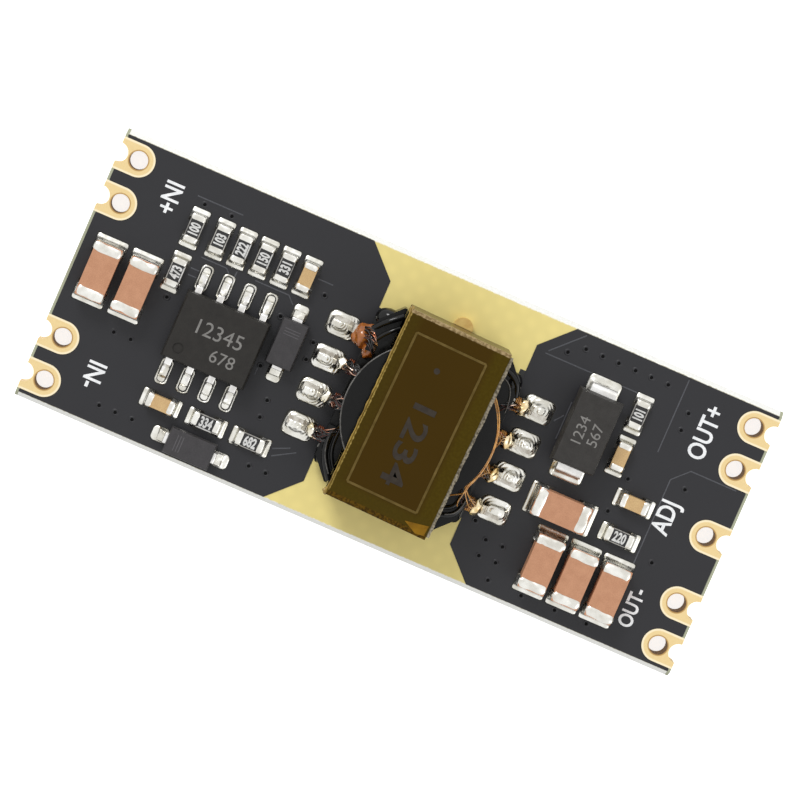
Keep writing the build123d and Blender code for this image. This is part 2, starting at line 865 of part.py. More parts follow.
# Lead wires wound on each pin beside its rail
wrap_inner = math.hypot(pin_width, pin_thickness) / 2 + wrap_clearance / 2
wrap_start = rail_outer + wrap_clearance
with BuildPart() as lead_wire_wraps:
    for base in pin_seats:
        profile = upright(base)
        with BuildSketch(profile):
            for turn in range(wrap_turns):
                turn_x = wrap_start + (2 * turn + 1) * wrap_wire_radius
                with Locations((turn_x, pin_height + wrap_inner + wrap_wire_radius)):
                    Circle(wrap_wire_radius)
            wrap_length = 2 * wrap_turns * wrap_wire_radius
            with Locations((wrap_start + wrap_length / 2, pin_height + wrap_inner + wrap_wire_radius / 2)):
                Rectangle(wrap_length, wrap_wire_radius)
        pin_axis = Axis(profile.from_local_coords(Vector(0, pin_height, 0)), profile.x_dir)
        revolve(axis=pin_axis)
finish(lead_wire_wraps, "lead_wire_wraps")

# Lead wire that follows the upper flange's rim and drops to the last pin
rim_radius = flange_radius + lead_wire_radius + lead_wire_clearance
rim_level = bobbin_top - bobbin_flange / 2
wrap_top = board_top + pin_height + wrap_inner + 2 * wrap_wire_radius
with BuildPart() as secondary_lead_wire:
    with BuildLine(seat(transformer_place, rim_level)) as wire_line:
        end_angle = math.radians(lead_wire_end)
        leave_x = rim_radius * math.cos(end_angle)
        leave_y = rim_radius * math.sin(end_angle)
        corner_x = leave_x + lead_wire_run_on * math.sin(end_angle)
        corner_y = leave_y - lead_wire_run_on * math.cos(end_angle)
        drop = (
            wrap_start + wrap_turns * wrap_wire_radius,
            pin_offsets[0],
            wrap_top + lead_wire_radius - rim_level,
        )
        FilletPolyline(
            drop, (corner_x, corner_y, 0), (leave_x, leave_y, 0), radius=lead_wire_bend
        )
        CenterArc((0, 0), rim_radius, lead_wire_end, lead_wire_start - lead_wire_end)
    with BuildSketch(Plane(origin=wire_line.line @ 0, z_dir=wire_line.line % 0)):
        Circle(lead_wire_radius)
    sweep(path=wire_line.line)
finish(secondary_lead_wire, "secondary_lead_wire")

# Glue bead that holds the core's end to the laminate
tape_end = core_length / 2 + core_tape_thickness
with BuildPart() as core_glue_bead:
    with BuildSketch(seat(transformer_place, board_top)):
        with Locations((glue_x_shift, tape_end)):
            Circle(glue_radius)
        with Locations((glue_x_shift, tape_end - glue_radius)):
            Rectangle(2 * glue_radius, 2 * glue_radius, mode=Mode.SUBTRACT)
    extrude(amount=glue_height)
finish(core_glue_bead, "core_glue_bead")

# Solder mounds over the transformer's feet
solder_lands = []
for x, y, length, width, turn in transformer_lands:
    solder_lands.append((
        x, y, length - 2 * transformer_solder_inset, width - 2 * transformer_solder_inset, turn
    ))
with BuildPart() as transformer_solder_joints:
    with BuildSketch(Plane.XY.offset(land_top)):
        draw_lands(solder_lands, corner=transformer_land_round)
    extrude(amount=transformer_solder_height, taper=transformer_solder_taper)
    add(pin_part, mode=Mode.SUBTRACT)
finish(transformer_solder_joints, "transformer_solder_joints")

# Varnish bead: a barrel-shaped drop round the first pin's wrapped wire
first_pin = upright(pin_seats[pins_per_side])
bead_inner = wrap_inner + 2 * wrap_wire_radius + bead_clearance
bead_start = rail_outer + bead_clearance
bead_end = rail_outer + transformer_land_gap - bead_clearance
with BuildPart() as pin_varnish_bead:
    with BuildSketch(first_pin):
        with BuildLine():
            Polyline(
                (bead_start, pin_height + bead_inner + bead_wall),
                (bead_start, pin_height + bead_inner),
                (bead_end, pin_height + bead_inner),
                (bead_end, pin_height + bead_inner + bead_wall),
            )
            ThreePointArc(
                (bead_end, pin_height + bead_inner + bead_wall),
                ((bead_start + bead_end) / 2, pin_height + bead_inner + bead_wall + bead_crown),
                (bead_start, pin_height + bead_inner + bead_wall),
            )
        make_face()
    revolve(axis=Axis(first_pin.from_local_coords(Vector(0, pin_height, 0)), first_pin.x_dir))
finish(pin_varnish_bead, "pin_varnish_bead")
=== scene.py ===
"""Looks of an isolated step-down converter module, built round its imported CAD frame."""

import math
from functools import partial

import bmesh
import bpy
import numpy as np
from bpy.props import FloatProperty, FloatVectorProperty, IntProperty, PointerProperty
from mathutils import Matrix, Vector


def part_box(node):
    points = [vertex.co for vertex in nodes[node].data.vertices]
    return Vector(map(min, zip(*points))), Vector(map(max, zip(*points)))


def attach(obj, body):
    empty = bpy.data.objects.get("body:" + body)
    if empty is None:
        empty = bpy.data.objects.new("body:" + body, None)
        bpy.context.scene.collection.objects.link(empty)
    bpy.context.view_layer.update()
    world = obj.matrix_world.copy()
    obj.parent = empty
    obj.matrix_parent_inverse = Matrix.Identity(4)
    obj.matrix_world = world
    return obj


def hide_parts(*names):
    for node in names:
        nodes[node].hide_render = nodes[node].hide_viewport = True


bl_info = {
    "name": "Converter module", "version": (1, 0, 0), "blender": (4, 5, 0),
    "location": "View3D > Sidebar > Module",
    "description": "Builds the looks of a small isolated step-down converter module",
    "category": "Object",
}

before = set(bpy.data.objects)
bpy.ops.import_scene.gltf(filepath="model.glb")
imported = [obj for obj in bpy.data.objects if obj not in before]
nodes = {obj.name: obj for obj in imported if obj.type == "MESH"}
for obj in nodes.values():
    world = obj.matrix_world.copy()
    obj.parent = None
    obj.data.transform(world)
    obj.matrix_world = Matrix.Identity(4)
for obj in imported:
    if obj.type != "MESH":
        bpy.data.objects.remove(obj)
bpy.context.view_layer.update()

MM = 0.001

# Levels and sizes of the CAD part, in millimetres
MASK_TOP = 1.68
LAND_TOP = 1.69
MASK_EDGE_Y = 7.63
BARE_END_X = 19.33
ISOLATION_X = 1.24
ISOLATION_HALF = 4.36
ISOLATION_FLARE = 1.68
# painted shade of the transformer's rails lies past this distance from the gap's middle, and as far
# across the board as the next
RAIL_SHADE_START_X = 4.05
RAIL_SHADE_HALF_Y = 4.4
# the gold terminals: distance from the board's middle, middle of each pair, and half of its pitch
TERMINAL_X = 18.3
TERMINAL_PAIR_Y = 5.25
TERMINAL_HALF_PITCH = 1.27

# Transformer: centre, turn and sizes, in millimetres
TRANSFORMER = (1.18, -0.28)
TRANSFORMER_TURN = math.radians(-1.7)
CORE_HALF_LENGTH = 5.45
CORE_HALF_WIDTH = 2.9
CORE_BOTTOM = 2.10
CORE_TOP = 7.00
FILM_TOP = 7.055
RAIL_OUTER = 4.24
PIN_LEVEL = 2.65
PIN_ROWS = (-3.0, -1.0, 1.0, 3.0)
TRANSFORMER_LAND_X = 5.81
FLANGE_TOP = 5.97

# Chips and packages
LARGE_CAPACITORS = [f"input_capacitor_{i}" for i in (1, 2)] + [
    f"output_capacitor_{i}" for i in (1, 2, 3, 4)
]
SMALL_CAPACITORS = [
    "supply_capacitor", "timing_capacitor", "snubber_capacitor", "feedback_capacitor",
]
RESISTORS = [
    "sense_resistor", "snubber_resistor", "adjust_resistor", "timing_resistor_1",
    "timing_resistor_2",
]
RESISTORS += [f"control_resistor_{i}" for i in range(1, 6)]
SMALL_DIODES = ("clamp_diode_body", "supply_diode_body")
# how much longer, wider and higher an end cap is than its chip
CAP_GROWTH = 0.06
GLAZE_TOP = LAND_TOP + 0.446
LEAD_PITCH = 1.27
# solder at the flat feet: its layer on the land, how high it climbs and how soon it falls off
FOOT_SOLDER = 0.06
FOOT_CLIMB = 0.15
FOOT_MENISCUS = 0.07

# Camera: its place and what it looks at in millimetres, and how the picture leans
CAMERA_PLACE = (-11.0, 16.8, 271.7)
CAMERA_TARGET = (-0.062, 0.211, 1.7)
PICTURE_LEAN = math.radians(23.5146)
FLOOR_HALF_M = 3


# ---- colours, nodes and materials ----


def linear(hex_colour):
    """Linear colour of an sRGB hex value: each channel c goes to ((c + 0.055) / 1.055) ** 2.4."""
    channels = [int(hex_colour[i:i + 2], 16) / 255 for i in (1, 3, 5)]
    return tuple(
        c / 12.92 if c <= 0.04045 else ((c + 0.055) / 1.055) ** 2.4 for c in channels
    ) + (1.0,)


def hex_text(colour):
    """A linear colour setting as an sRGB hex value."""
    channels = [12.92 * c if c <= 0.0031308 else 1.055 * c ** (1 / 2.4) - 0.055 for c in colour]
    return "#%02x%02x%02x" % tuple(round(255 * c) for c in channels)


def shaded(hex_colour, share):
    """The linear colour of a hex value, its channels scaled by a share."""
    return tuple(c * share for c in linear(hex_colour)[:3]) + (1.0,)


def add_node(tree, kind, inputs=None, **settings):
    """Adds one node. Inputs holds its sockets' values, or the nodes or sockets that they are linked
    from, and a node stands for the first of its outputs that is in use."""
    made = tree.nodes.new("ShaderNode" + kind)
    for name, value in settings.items():
        setattr(made, name, value)
    for key, value in (inputs or {}).items():
        if isinstance(value, bpy.types.Node):
            value = next(socket for socket in value.outputs if socket.enabled)
        if isinstance(value, bpy.types.NodeSocket):
            tree.links.new(value, made.inputs[key])
        else:
            made.inputs[key].default_value = value
    return made


def start_material(name):
    """A new empty material, what adds a node to it, and the socket of the piece's Object
    coordinates."""
    material = bpy.data.materials.new(name)
    material.use_nodes = True
    material.node_tree.nodes.clear()
    add = partial(add_node, material.node_tree)
    return material, add, add("TexCoord").outputs["Object"]


def finish_material(material, colour, roughness, relief, depth_mm, strength, **sockets):
    """Ends a material with one Principled shader: its colour, its roughness, a relief of a depth in
    millimetres and the sockets' values."""
    add = partial(add_node, material.node_tree)
    bump = add("Bump", {"Height": relief, "Strength": strength, "Distance": depth_mm * MM})
    inputs = {"Base Color": colour, "Roughness": roughness, "Normal": bump}
    inputs.update((key.replace("_", " "), value) for key, value in sockets.items())
    shader = add("BsdfPrincipled", inputs)
    add("OutputMaterial", {"Surface": shader})
    return material


def laminate_material(colour):
    """Bare glass cloth in epoxy: pale yellow, with the cloth's diagonal weave, and white broken
    fibres at the scored long edges."""
    material, add, place = start_material("glass_epoxy_laminate")
    cloth = add("Mapping", {"Vector": place, "Rotation": (0, 0, math.radians(38))})
    # threads of the glass cloth are about 0.45 mm apart
    threads = [
        add(
            "TexWave",
            {
                "Vector": cloth, "Scale": 1 / (0.45 * MM) / 6.3, "Distortion": 0.6, "Detail": 1.0,
                "Detail Scale": 2.0,
            },
            wave_type="BANDS", bands_direction=direction, wave_profile="SIN",
        ).outputs["Fac"] for direction in ("X", "Y")
    ]
    weave = add("Math", {0: threads[0], 1: threads[1]}, operation="MULTIPLY")
    cloud = add("TexNoise", {"Vector": place, "Scale": 1 / (2.5 * MM), "Detail": 3.0})
    tone = add("Math", {0: weave, 1: cloud}, operation="ADD")
    shade = add("MapRange", {"Value": tone, "From Min": 0.1, "From Max": 1.6})
    resin = add("Mix", {0: shade, 6: shaded(colour, 0.93), 7: linear(colour)}, data_type="RGBA")
    # broken glass fibres show white past the solder mask's long edge
    axes = add("SeparateXYZ", {"Vector": place})
    across = add("Math", {0: axes.outputs["Y"]}, operation="ABSOLUTE")
    fray = add("TexNoise", {"Vector": place, "Scale": 1 / (0.12 * MM), "Detail": 4.0})
    ragged = add("Math", {0: fray, 1: 0.12 * MM, 2: across}, operation="MULTIPLY_ADD")
    edge = add(
        "MapRange",
        {
            "Value": ragged, "From Min": (MASK_EDGE_Y + 0.02) * MM,
            "From Max": (MASK_EDGE_Y + 0.10) * MM,
        },
    )
    fibre = add("Mix", {0: fray, 6: linear("#E6E6DC"), 7: linear("#FFFFFF")}, data_type="RGBA")
    cut = add("Mix", {0: edge, 6: resin, 7: fibre}, data_type="RGBA")
    # outside the isolation gap the laminate only shows in the narrow openings of the mask, and is
    # coloured near black there
    along = add("Math", {0: axes.outputs["X"], 1: ISOLATION_X * MM}, operation="SUBTRACT")
    away = add("Math", {0: along}, operation="ABSOLUTE")
    flare = add(
        "MapRange",
        {"Value": across,
         "From Min": (MASK_EDGE_Y - ISOLATION_FLARE) * MM, "From Max": MASK_EDGE_Y * MM,
         "To Min": ISOLATION_HALF * MM, "To Max": (ISOLATION_HALF + ISOLATION_FLARE) * MM},
    )
    covered = add("Math", {0: away, 1: flare}, operation="GREATER_THAN")
    end = add("Math", {0: axes.outputs["X"]}, operation="ABSOLUTE")
    inside = add("Math", {0: end, 1: BARE_END_X * MM}, operation="LESS_THAN")
    bare = add("Math", {0: 1.0, 1: edge}, operation="SUBTRACT")
    hidden = add("Math", {0: covered, 1: inside}, operation="MULTIPLY")
    opening_dark = add("Math", {0: hidden, 1: bare}, operation="MULTIPLY")
    # painted shade: the laminate is darkened between the transformer's rails and the mask, where
    # the rails shade it
    beside = add("Math", {0: away, 1: RAIL_SHADE_START_X * MM}, operation="GREATER_THAN")
    along_rail = add("Math", {0: across, 1: RAIL_SHADE_HALF_Y * MM}, operation="LESS_THAN")
    near = add("Math", {0: beside, 1: along_rail}, operation="MULTIPLY")
    rail_shade = add("Math", {0: near, 1: inside}, operation="MULTIPLY")
    dark = add("Math", {0: opening_dark, 1: rail_shade}, operation="MAXIMUM")
    # the strip that the mask leaves bare along each end is thin greenish resin
    strip = add("Math", {0: end, 1: BARE_END_X * MM}, operation="GREATER_THAN")
    ends = add("Mix", {0: strip, 6: cut, 7: linear("#A9AC92")}, data_type="RGBA")
    skin = add("Mix", {0: dark, 6: ends, 7: linear("#121210")}, data_type="RGBA")
    rough = add("MapRange", {"Value": edge, "To Min": 0.42, "To Max": 0.85})
    return finish_material(material, skin, rough, tone, 0.01, 0.25, IOR=1.55)


def mask_material(colour):
    """Black solder mask: a screen-printed epoxy ink, cured with a faint orange peel, semi-matt."""
    material, add, place = start_material("black_solder_mask")
    # orange peel about 0.15 mm across, and broader thick and thin places of the print
    peel = add("TexNoise", {"Vector": place, "Scale": 1 / (0.15 * MM), "Detail": 3.0})
    broad = add("TexNoise", {"Vector": place, "Scale": 1 / (1.6 * MM), "Detail": 2.0})
    rough = add("MapRange", {"Value": broad, "To Min": 0.36, "To Max": 0.56})
    return finish_material(
        material, linear(colour), rough, peel, 0.008, 0.18, IOR=1.5, Specular_IOR_Level=0.42,
    )


def metal_material(name, bright, dull, roughness, grain_mm, relief_mm, strength=0.3):
    """A metal skin that varies between two tones, with a grain of grain_mm and a relief of
    relief_mm."""
    material, add, place = start_material(name)
    grain = add("TexNoise", {"Vector": place, "Scale": 1 / (grain_mm * MM), "Detail": 4.0})
    patch = add("TexNoise", {"Vector": place, "Scale": 1 / (4 * grain_mm * MM), "Detail": 2.0})
    spread = add("MapRange", {"Value": patch, "From Min": 0.35, "From Max": 0.65})
    tone = add("Mix", {0: spread, 6: linear(dull), 7: linear(bright)}, data_type="RGBA")
    rough = add(
        "MapRange",
        {
            "Value": grain, "From Min": 0.3, "From Max": 0.7, "To Min": roughness[0],
            "To Max": roughness[1],
        },
    )
    return finish_material(material, tone, rough, grain, relief_mm, strength, Metallic=1.0)


def gold_material():
    """Immersion gold over copper: satin pale gold, darker in a thin ring round each hole, with a
    painted highlight along the rounded rim."""
    material, add, place = start_material("gold_plated_copper")
    axes = add("SeparateXYZ", {"Vector": place})
    side = add("Math", {0: axes.outputs["X"]}, operation="ABSOLUTE")
    inward = add("Math", {0: side, 1: TERMINAL_X * MM}, operation="SUBTRACT")
    behind = add("Math", {0: inward, 1: 0.0}, operation="MINIMUM")
    # distance across the board to the nearest hole: the pairs stand each side of a middle, the
    # single one at 0
    height = add("Math", {0: axes.outputs["Y"]}, operation="ABSOLUTE")
    pair = add("Math", {0: height, 1: TERMINAL_PAIR_Y * MM}, operation="SUBTRACT")
    apart = add("Math", {0: pair}, operation="ABSOLUTE")
    past = add("Math", {0: apart, 1: TERMINAL_HALF_PITCH * MM}, operation="SUBTRACT")
    offset = add("Math", {0: past}, operation="ABSOLUTE")
    off_axis = add("Math", {0: offset, 1: height}, operation="MINIMUM")
    # the rim and the ring, each by the distance from the rounded land's middle line or from the
    # hole
    masks = []
    for way_in, levels in (
        (behind, {"From Min": 0.78 * MM, "From Max": 0.84 * MM}),
        (inward, {"From Min": 0.56 * MM, "From Max": 0.61 * MM, "To Min": 1.0, "To Max": 0.0}),
    ):
        point = add("CombineXYZ", {"X": way_in, "Y": off_axis})
        way = add("VectorMath", {0: point}, operation="LENGTH")
        masks.append(add("MapRange", {"Value": way, **levels}))
    grain = add("TexNoise", {"Vector": place, "Scale": 1 / (0.08 * MM), "Detail": 4.0})
    flat = add("Mix", {0: grain, 6: linear("#E6CA92"), 7: linear("#EED7A2")}, data_type="RGBA")
    # painted highlight: the rounded rim is coloured lighter
    lit = add("Mix", {0: masks[0], 6: flat, 7: linear("#F8E9C6")}, data_type="RGBA")
    tone = add("Mix", {0: masks[1], 6: lit, 7: linear("#B8935C")}, data_type="RGBA")
    rough = add("MapRange", {"Value": grain, "To Min": 0.28, "To Max": 0.42})
    return finish_material(material, tone, rough, grain, 0.003, 0.2, Metallic=1.0)


def film_material(colour):
    """Amber polyimide film over black ferrite: dark amber and glossy, golden where its left edge
    stands free, speckled at its right edge and pale along its top fold."""
    material, add, place = start_material("amber_polyimide_film")
    centre = (TRANSFORMER[0] * MM, TRANSFORMER[1] * MM, 0)
    middle = add("VectorMath", {0: place, 1: centre}, operation="SUBTRACT")
    level = add("Mapping", {"Vector": middle, "Rotation": (0, 0, -TRANSFORMER_TURN)})
    axes = add("SeparateXYZ", {"Vector": level})
    fray = add("TexNoise", {"Vector": place, "Scale": 1 / (0.16 * MM), "Detail": 3.0})
    cloud = add("TexNoise", {"Vector": place, "Scale": 1 / (4.0 * MM), "Detail": 1.0})
    speck = add("MapRange", {"Value": fray, "From Min": 0.42, "From Max": 0.6})
    tone = add("Mix", {0: cloud, 6: shaded(colour, 0.86), 7: linear(colour)}, data_type="RGBA")
    # each margin: axis, where it starts, where it is full, its two tones, and how far down it
    # reaches
    margins = (
        ("X", -2.1, -2.5, "#40320B", "#43350C", 0.08), ("X", 1.9, 2.3, "#443609", "#483A0B", 0.08),
        ("Y", -4.3, -4.7, "#43360C", "#46380D", 0.08),
        ("X", -2.885, -2.905, "#7A6632", "#A08A4C", 0.08),
        ("Y", -5.22, -5.26, "#3A2A0A", "#5C430F", 0.08),
        ("Y", 5.32, 5.36, "#7E6A48", "#A8926C", 0.35),
    )
    for axis, start, full, dark, light, reach in margins:
        bottom = (FILM_TOP - reach) * MM
        top = add("Math", {0: axes.outputs["Z"], 1: bottom}, operation="GREATER_THAN")
        wobble = add(
            "Math", {0: fray, 1: math.copysign(0.08 * MM, full), 2: axes.outputs[axis]},
            operation="MULTIPLY_ADD",
        )
        here = add(
            "MapRange",
            {"Value": wobble, "From Min": start * MM, "From Max": full * MM, "To Max": top},
        )
        strip = add("Mix", {0: speck, 6: linear(dark), 7: linear(light)}, data_type="RGBA")
        tone = add("Mix", {0: here, 6: tone, 7: strip}, data_type="RGBA")
    rough = add("MapRange", {"Value": cloud, "To Min": 0.14, "To Max": 0.26})
    return finish_material(material, tone, rough, fray, 0.004, 0.1, Specular_IOR_Level=0.04)


def speckled_material(name, light, dark, roughness, speck_mm, relief_mm, gloss=0.5, coat=0.0):
    """A matt or glossy body whose colour is speckled between two tones by grains of speck_mm. Gloss
    is its specular level, and coat the weight of a clear lacquer."""
    material, add, place = start_material(name)
    speck = add("TexNoise", {"Vector": place, "Scale": 1 / (speck_mm * MM), "Detail": 5.0})
    broad = add("TexNoise", {"Vector": place, "Scale": 1 / (9 * speck_mm * MM), "Detail": 2.0})
    both = add("Math", {0: broad, 1: 0.5, 2: speck}, operation="MULTIPLY_ADD")
    spread = add("MapRange", {"Value": both, "From Min": 0.55, "From Max": 0.95})
    tone = add("Mix", {0: spread, 6: linear(dark), 7: linear(light)}, data_type="RGBA")
    rough = add(
        "MapRange",
        {
            "Value": speck, "From Min": 0.3, "From Max": 0.7, "To Min": roughness[0],
            "To Max": roughness[1],
        },
    )
    return finish_material(
        material, tone, rough, speck, relief_mm, 0.35, Specular_IOR_Level=gloss, Coat_Weight=coat,
    )


# ---- finishes ----

# Metals: bright and dull tone, roughness, grain and relief in millimetres, strength of the relief
METALS = {
    # tinned copper that the solder has left, dull under dried flux, and darkened further as painted
    # contact shade beside the chips
    "tinned_copper": ("#454340", "#262422", (0.3, 0.5), 0.10, 0.006),
    # plated tin, reflowed with the solder: bright and lumpy
    "plated_tin": ("#F0EFE9", "#D6D3CA", (0.22, 0.36), 0.2, 0.008, 0.2),
    # tin solder from the oven: bright, with grain and dull flux patches
    "tin_solder": ("#F3F2EC", "#D2CFC4", (0.2, 0.34), 0.2, 0.008, 0.2),
    # tin plated copper alloy strip: bright, faint rolling marks
    "tinned_strip": ("#F4F3F1", "#DEDCD8", (0.2, 0.34), 0.10, 0.004),
    # the same strip, etched to a satin
    "satin_tinned_strip": ("#F4F3F1", "#DEDCD8", (0.4, 0.5), 0.10, 0.004),
    # hot-dipped pins, a little yellow
    "tinned_pins": ("#D5D1C8", "#A9A296", (0.2, 0.36), 0.1, 0.008),
    # scraped and tinned wire ends: bare copper, pink to silver
    "scraped_copper_wire": ("#F3D9C4", "#B86A48", (0.15, 0.3), 0.2, 0.006),
    # solder with rosin dried over it: pale gold, brown in its hollows
    "rosin_coated_solder": ("#FFF4D6", "#DDB870", (0.15, 0.3), 0.2, 0.016, 0.4),
    # solder dipped by hand: bright and coarse
    "dipped_solder": ("#F7F3E6", "#D2C6A4", (0.16, 0.32), 0.2, 0.012, 0.4),
}
# Other skins: light and dark tone, roughness, grain and relief in millimetres, gloss, lacquer
SPECKLED = {
    # painted shade in a via's dimple: black and matt
    "via_dimple_shade": ("#060606", "#030303", (0.6, 0.8), 0.05, 0.002, 0.1),
    # mask over a copper edge: painted lighter grey as the highlight along its slope
    "mask_edge_highlight": ("#4A4B50", "#3A3B40", (0.4, 0.6), 0.1, 0.002),
    # fired titanate ceramics: brown-pink or tan, matt, fine grain
    "brown_ceramic": ("#C79270", "#B5805F", (0.5, 0.65), 0.05, 0.004),
    "tan_ceramic": ("#D5B580", "#C09C6C", (0.45, 0.6), 0.05, 0.004),
    # sintered alumina: off-white and matt, and grey where the glaze's edge shades it
    "alumina": ("#EDEBE4", "#D8D4C8", (0.5, 0.7), 0.04, 0.003),
    "bare_alumina_edge": ("#B9B6AF", "#6F6D6A", (0.4, 0.6), 0.2, 0.004),
    # glass glaze over the resistive film: black and smooth
    "black_glaze": ("#201F20", "#161516", (0.25, 0.38), 0.06, 0.003),
    # white glass print on the glaze
    "white_glass_print": ("#E8E8E6", "#BDBDBA", (0.4, 0.6), 0.03, 0.002),
    # painted shade in the solder's grooves: black-brown and glossy
    "groove_shade": ("#2E2A25", "#171513", (0.15, 0.3), 0.15, 0.004),
    # transfer-moulded epoxy with silica: dark grey-brown, matt, fine spark-eroded grain
    "moulded_epoxy": ("#2C2A27", "#211F1D", (0.5, 0.68), 0.05, 0.006, 0.25),
    # the rectifier's compound is coloured lighter than the controller's, as painted sheen on its
    # top
    "sheen_lightened_epoxy": ("#3A3836", "#2D2B29", (0.5, 0.68), 0.05, 0.006, 0.25),
    # the small diodes' compound is a shade greyer
    "grey_moulded_epoxy": ("#3D3B3D", "#302E30", (0.48, 0.64), 0.05, 0.006, 0.4),
    # laser marks: the compound's skin turned pale grey, or barely
    "laser_mark": ("#8A8885", "#6A6865", (0.6, 0.8), 0.03, 0.002),
    "faint_laser_mark": ("#5C5A5C", "#48464A", (0.6, 0.8), 0.03, 0.002),
    # sintered ferrite: charcoal, ground faces with fine pits
    "sintered_ferrite": ("#232224", "#171618", (0.35, 0.55), 0.06, 0.006, 0.3),
    # polyimide film one layer thick: golden, and grey-beige where it is dusty
    "single_film": ("#BE9F4A", "#84692A", (0.2, 0.35), 0.6, 0.006),
    "dusty_film": ("#A79D88", "#4A4336", (0.3, 0.5), 0.12, 0.006, 0.2),
    # film over a second layer's edge: paler amber
    "pressed_film_edge": ("#6C5A30", "#564620", (0.2, 0.35), 0.5, 0.003, 0.08),
    # painted highlight on the film near the core's lower right corner: golden amber
    "golden_highlight_film": ("#8A6412", "#6B4A08", (0.2, 0.35), 0.6, 0.01, 0.12),
    # white print under the film, seen blue-grey through it
    "print_under_film": ("#3D3730", "#332D28", (0.3, 0.5), 0.3, 0.004, 0.1),
    # phenolic moulding: black, glossy with flux and varnish, its rims painted grey as highlights
    "phenolic": ("#0D0D0D", "#070707", (0.12, 0.3), 0.3, 0.015, 0.22),
    "phenolic_rim_highlight": ("#6A6864", "#2C2A29", (0.2, 0.35), 0.35, 0.006),
    # varnished sleeving: black and glossy
    "black_sleeving": ("#101010", "#080808", (0.1, 0.2), 0.3, 0.01, 0.35),
    # enamelled copper in layers: orange-brown lacquer over bright wire, turns 0.2 mm apart
    "wound_enamel": ("#B5652C", "#8C451B", (0.2, 0.35), 0.2, 0.02),
    # polyester winding tape: yellow and glossy
    "yellow_film": ("#D9B23A", "#C79C2A", (0.2, 0.32), 0.8, 0.01),
    # enamelled copper wire: orange-brown lacquer, golden where it is thin
    "enamelled_wire": ("#8E4A2C", "#3C1A12", (0.15, 0.28), 0.2, 0.006, 0.5, 0.4),
    "golden_enamelled_wire": ("#E6AC5C", "#A86C2C", (0.15, 0.28), 0.3, 0.006, 0.5, 0.4),
    # tarnished wire ends: dark red-brown
    "dark_enamelled_wire": ("#4A1D14", "#1C0F0D", (0.2, 0.35), 0.2, 0.006),
    # black lacquered wire ends: glossy
    "black_enamelled_wire": ("#141110", "#0A0908", (0.08, 0.16), 0.3, 0.006, 0.7),
    # dried impregnating varnish: clear orange-brown
    "dried_varnish": ("#B86C28", "#7C4010", (0.15, 0.3), 0.3, 0.03, 0.5, 0.5),
    # set glue: clear pale amber
    "amber_glue": ("#E6C677", "#CFA352", (0.15, 0.25), 0.4, 0.02),
}


def finish(name):
    """A new material, by its name in the tables."""
    if name in METALS:
        return metal_material(name, *METALS[name])
    return speckled_material(name, *SPECKLED[name])


# ---- shapes: each is an array of points in millimetres and an array of faces ----


def grid_faces(rows, columns, wrap_rows=False, wrap_columns=True):
    """Quads between the points of a grid, numbered row by row, closed where it wraps."""
    row, column = np.meshgrid(
        np.arange(rows if wrap_rows else rows - 1),
        np.arange(columns if wrap_columns else columns - 1), indexing="ij",
    )
    below, beside = (row + 1) % rows, (column + 1) % columns
    quads = (
        row * columns + column, row * columns + beside, below * columns + beside,
        below * columns + column,
    )
    return np.stack(quads, axis=-1).reshape(-1, 4)


def rounded_rectangle(length, width, radius, steps=6):
    """Outline of a rectangle whose corners are quarter circles, anticlockwise: corner centre plus
    radius times (cos, sin)."""
    angle = np.linspace(0, math.pi / 2, steps)
    corners = []
    for quarter, (x, y) in enumerate(((1, 1), (-1, 1), (-1, -1), (1, -1))):
        turn = angle + quarter * math.pi / 2
        corners.append(np.column_stack([
            x * (length / 2 - radius) + radius * np.cos(turn),
            y * (width / 2 - radius) + radius * np.sin(turn),
        ]))
    return np.concatenate(corners)


def fine_outline(length, width, radius, count=64, corners=False):
    """The rounded rectangle with its points evenly spaced along it, and with its corners' own
    points too if they are wanted."""
    outline = rounded_rectangle(length, width, radius, 10)
    closed = np.vstack([outline, outline[:1]])
    run = np.concatenate([[0], np.cumsum(np.linalg.norm(np.diff(closed, axis=0), axis=1))])
    even = np.linspace(0, run[-1], count, endpoint=False)
    if corners:
        even = np.unique(np.concatenate([even, run[:-1]]).round(5))
    return np.column_stack([np.interp(even, run, closed[:, i]) for i in (0, 1)])


def ripple(points, size, seed):
    """Smooth lumps of about one size: the mean of plane waves with seeded directions and phases,
    from -1 to 1."""
    random = np.random.default_rng(seed)
    directions = random.normal(size=(8, points.shape[-1]))
    directions /= np.linalg.norm(directions, axis=1, keepdims=True)
    lengths = size * random.uniform(0.7, 1.5, 8)
    waves = points @ (directions / lengths[:, None]).T * 2 * math.pi
    return np.clip(np.sin(waves + random.uniform(0, 6.3, 8)).mean(axis=-1) * 1.8, -1, 1)


def turned(points, centre, turn):
    """Points turned about Z and then moved to a centre."""
    c, s = math.cos(turn), math.sin(turn)
    x = points[..., 0] * c - points[..., 1] * s + centre[0]
    y = points[..., 0] * s + points[..., 1] * c + centre[1]
    return np.stack([x, y, points[..., 2]], axis=-1)


def heading(turn):
    """A step of one in the plane, along a turn."""
    return np.array([math.cos(turn), math.sin(turn)])


def on_transformer(points):
    """Points of the transformer's own plane, put where the transformer sits."""
    return turned(np.asarray(points, float), TRANSFORMER, TRANSFORMER_TURN)


def spot_on_transformer(u, v):
    """A place in the transformer's own plane, put where the transformer sits."""
    return on_transformer([(u, v, 0)])[0, :2]


def smooth_line(points, steps=10):
    """A uniform cubic B-spline: each point is the blend of four neighbours by (1-t)^3/6 and its
    fellows, with its ends tripled so that it reaches them."""
    points = np.asarray(points, float)
    points = np.vstack([points[:1], points[:1], points, points[-1:], points[-1:]])
    t = np.linspace(0, 1, steps, endpoint=False)[:, None]
    blend = (
        (1 - t) ** 3 / 6, (3 * t ** 3 - 6 * t ** 2 + 4) / 6,
        (-3 * t ** 3 + 3 * t ** 2 + 3 * t + 1) / 6, t ** 3 / 6,
    )
    count = len(points) - 3
    line = sum(points[k:k + count, None] * blend[k] for k in range(4)).reshape(-1, 3)
    return np.vstack([line, points[-1:]])


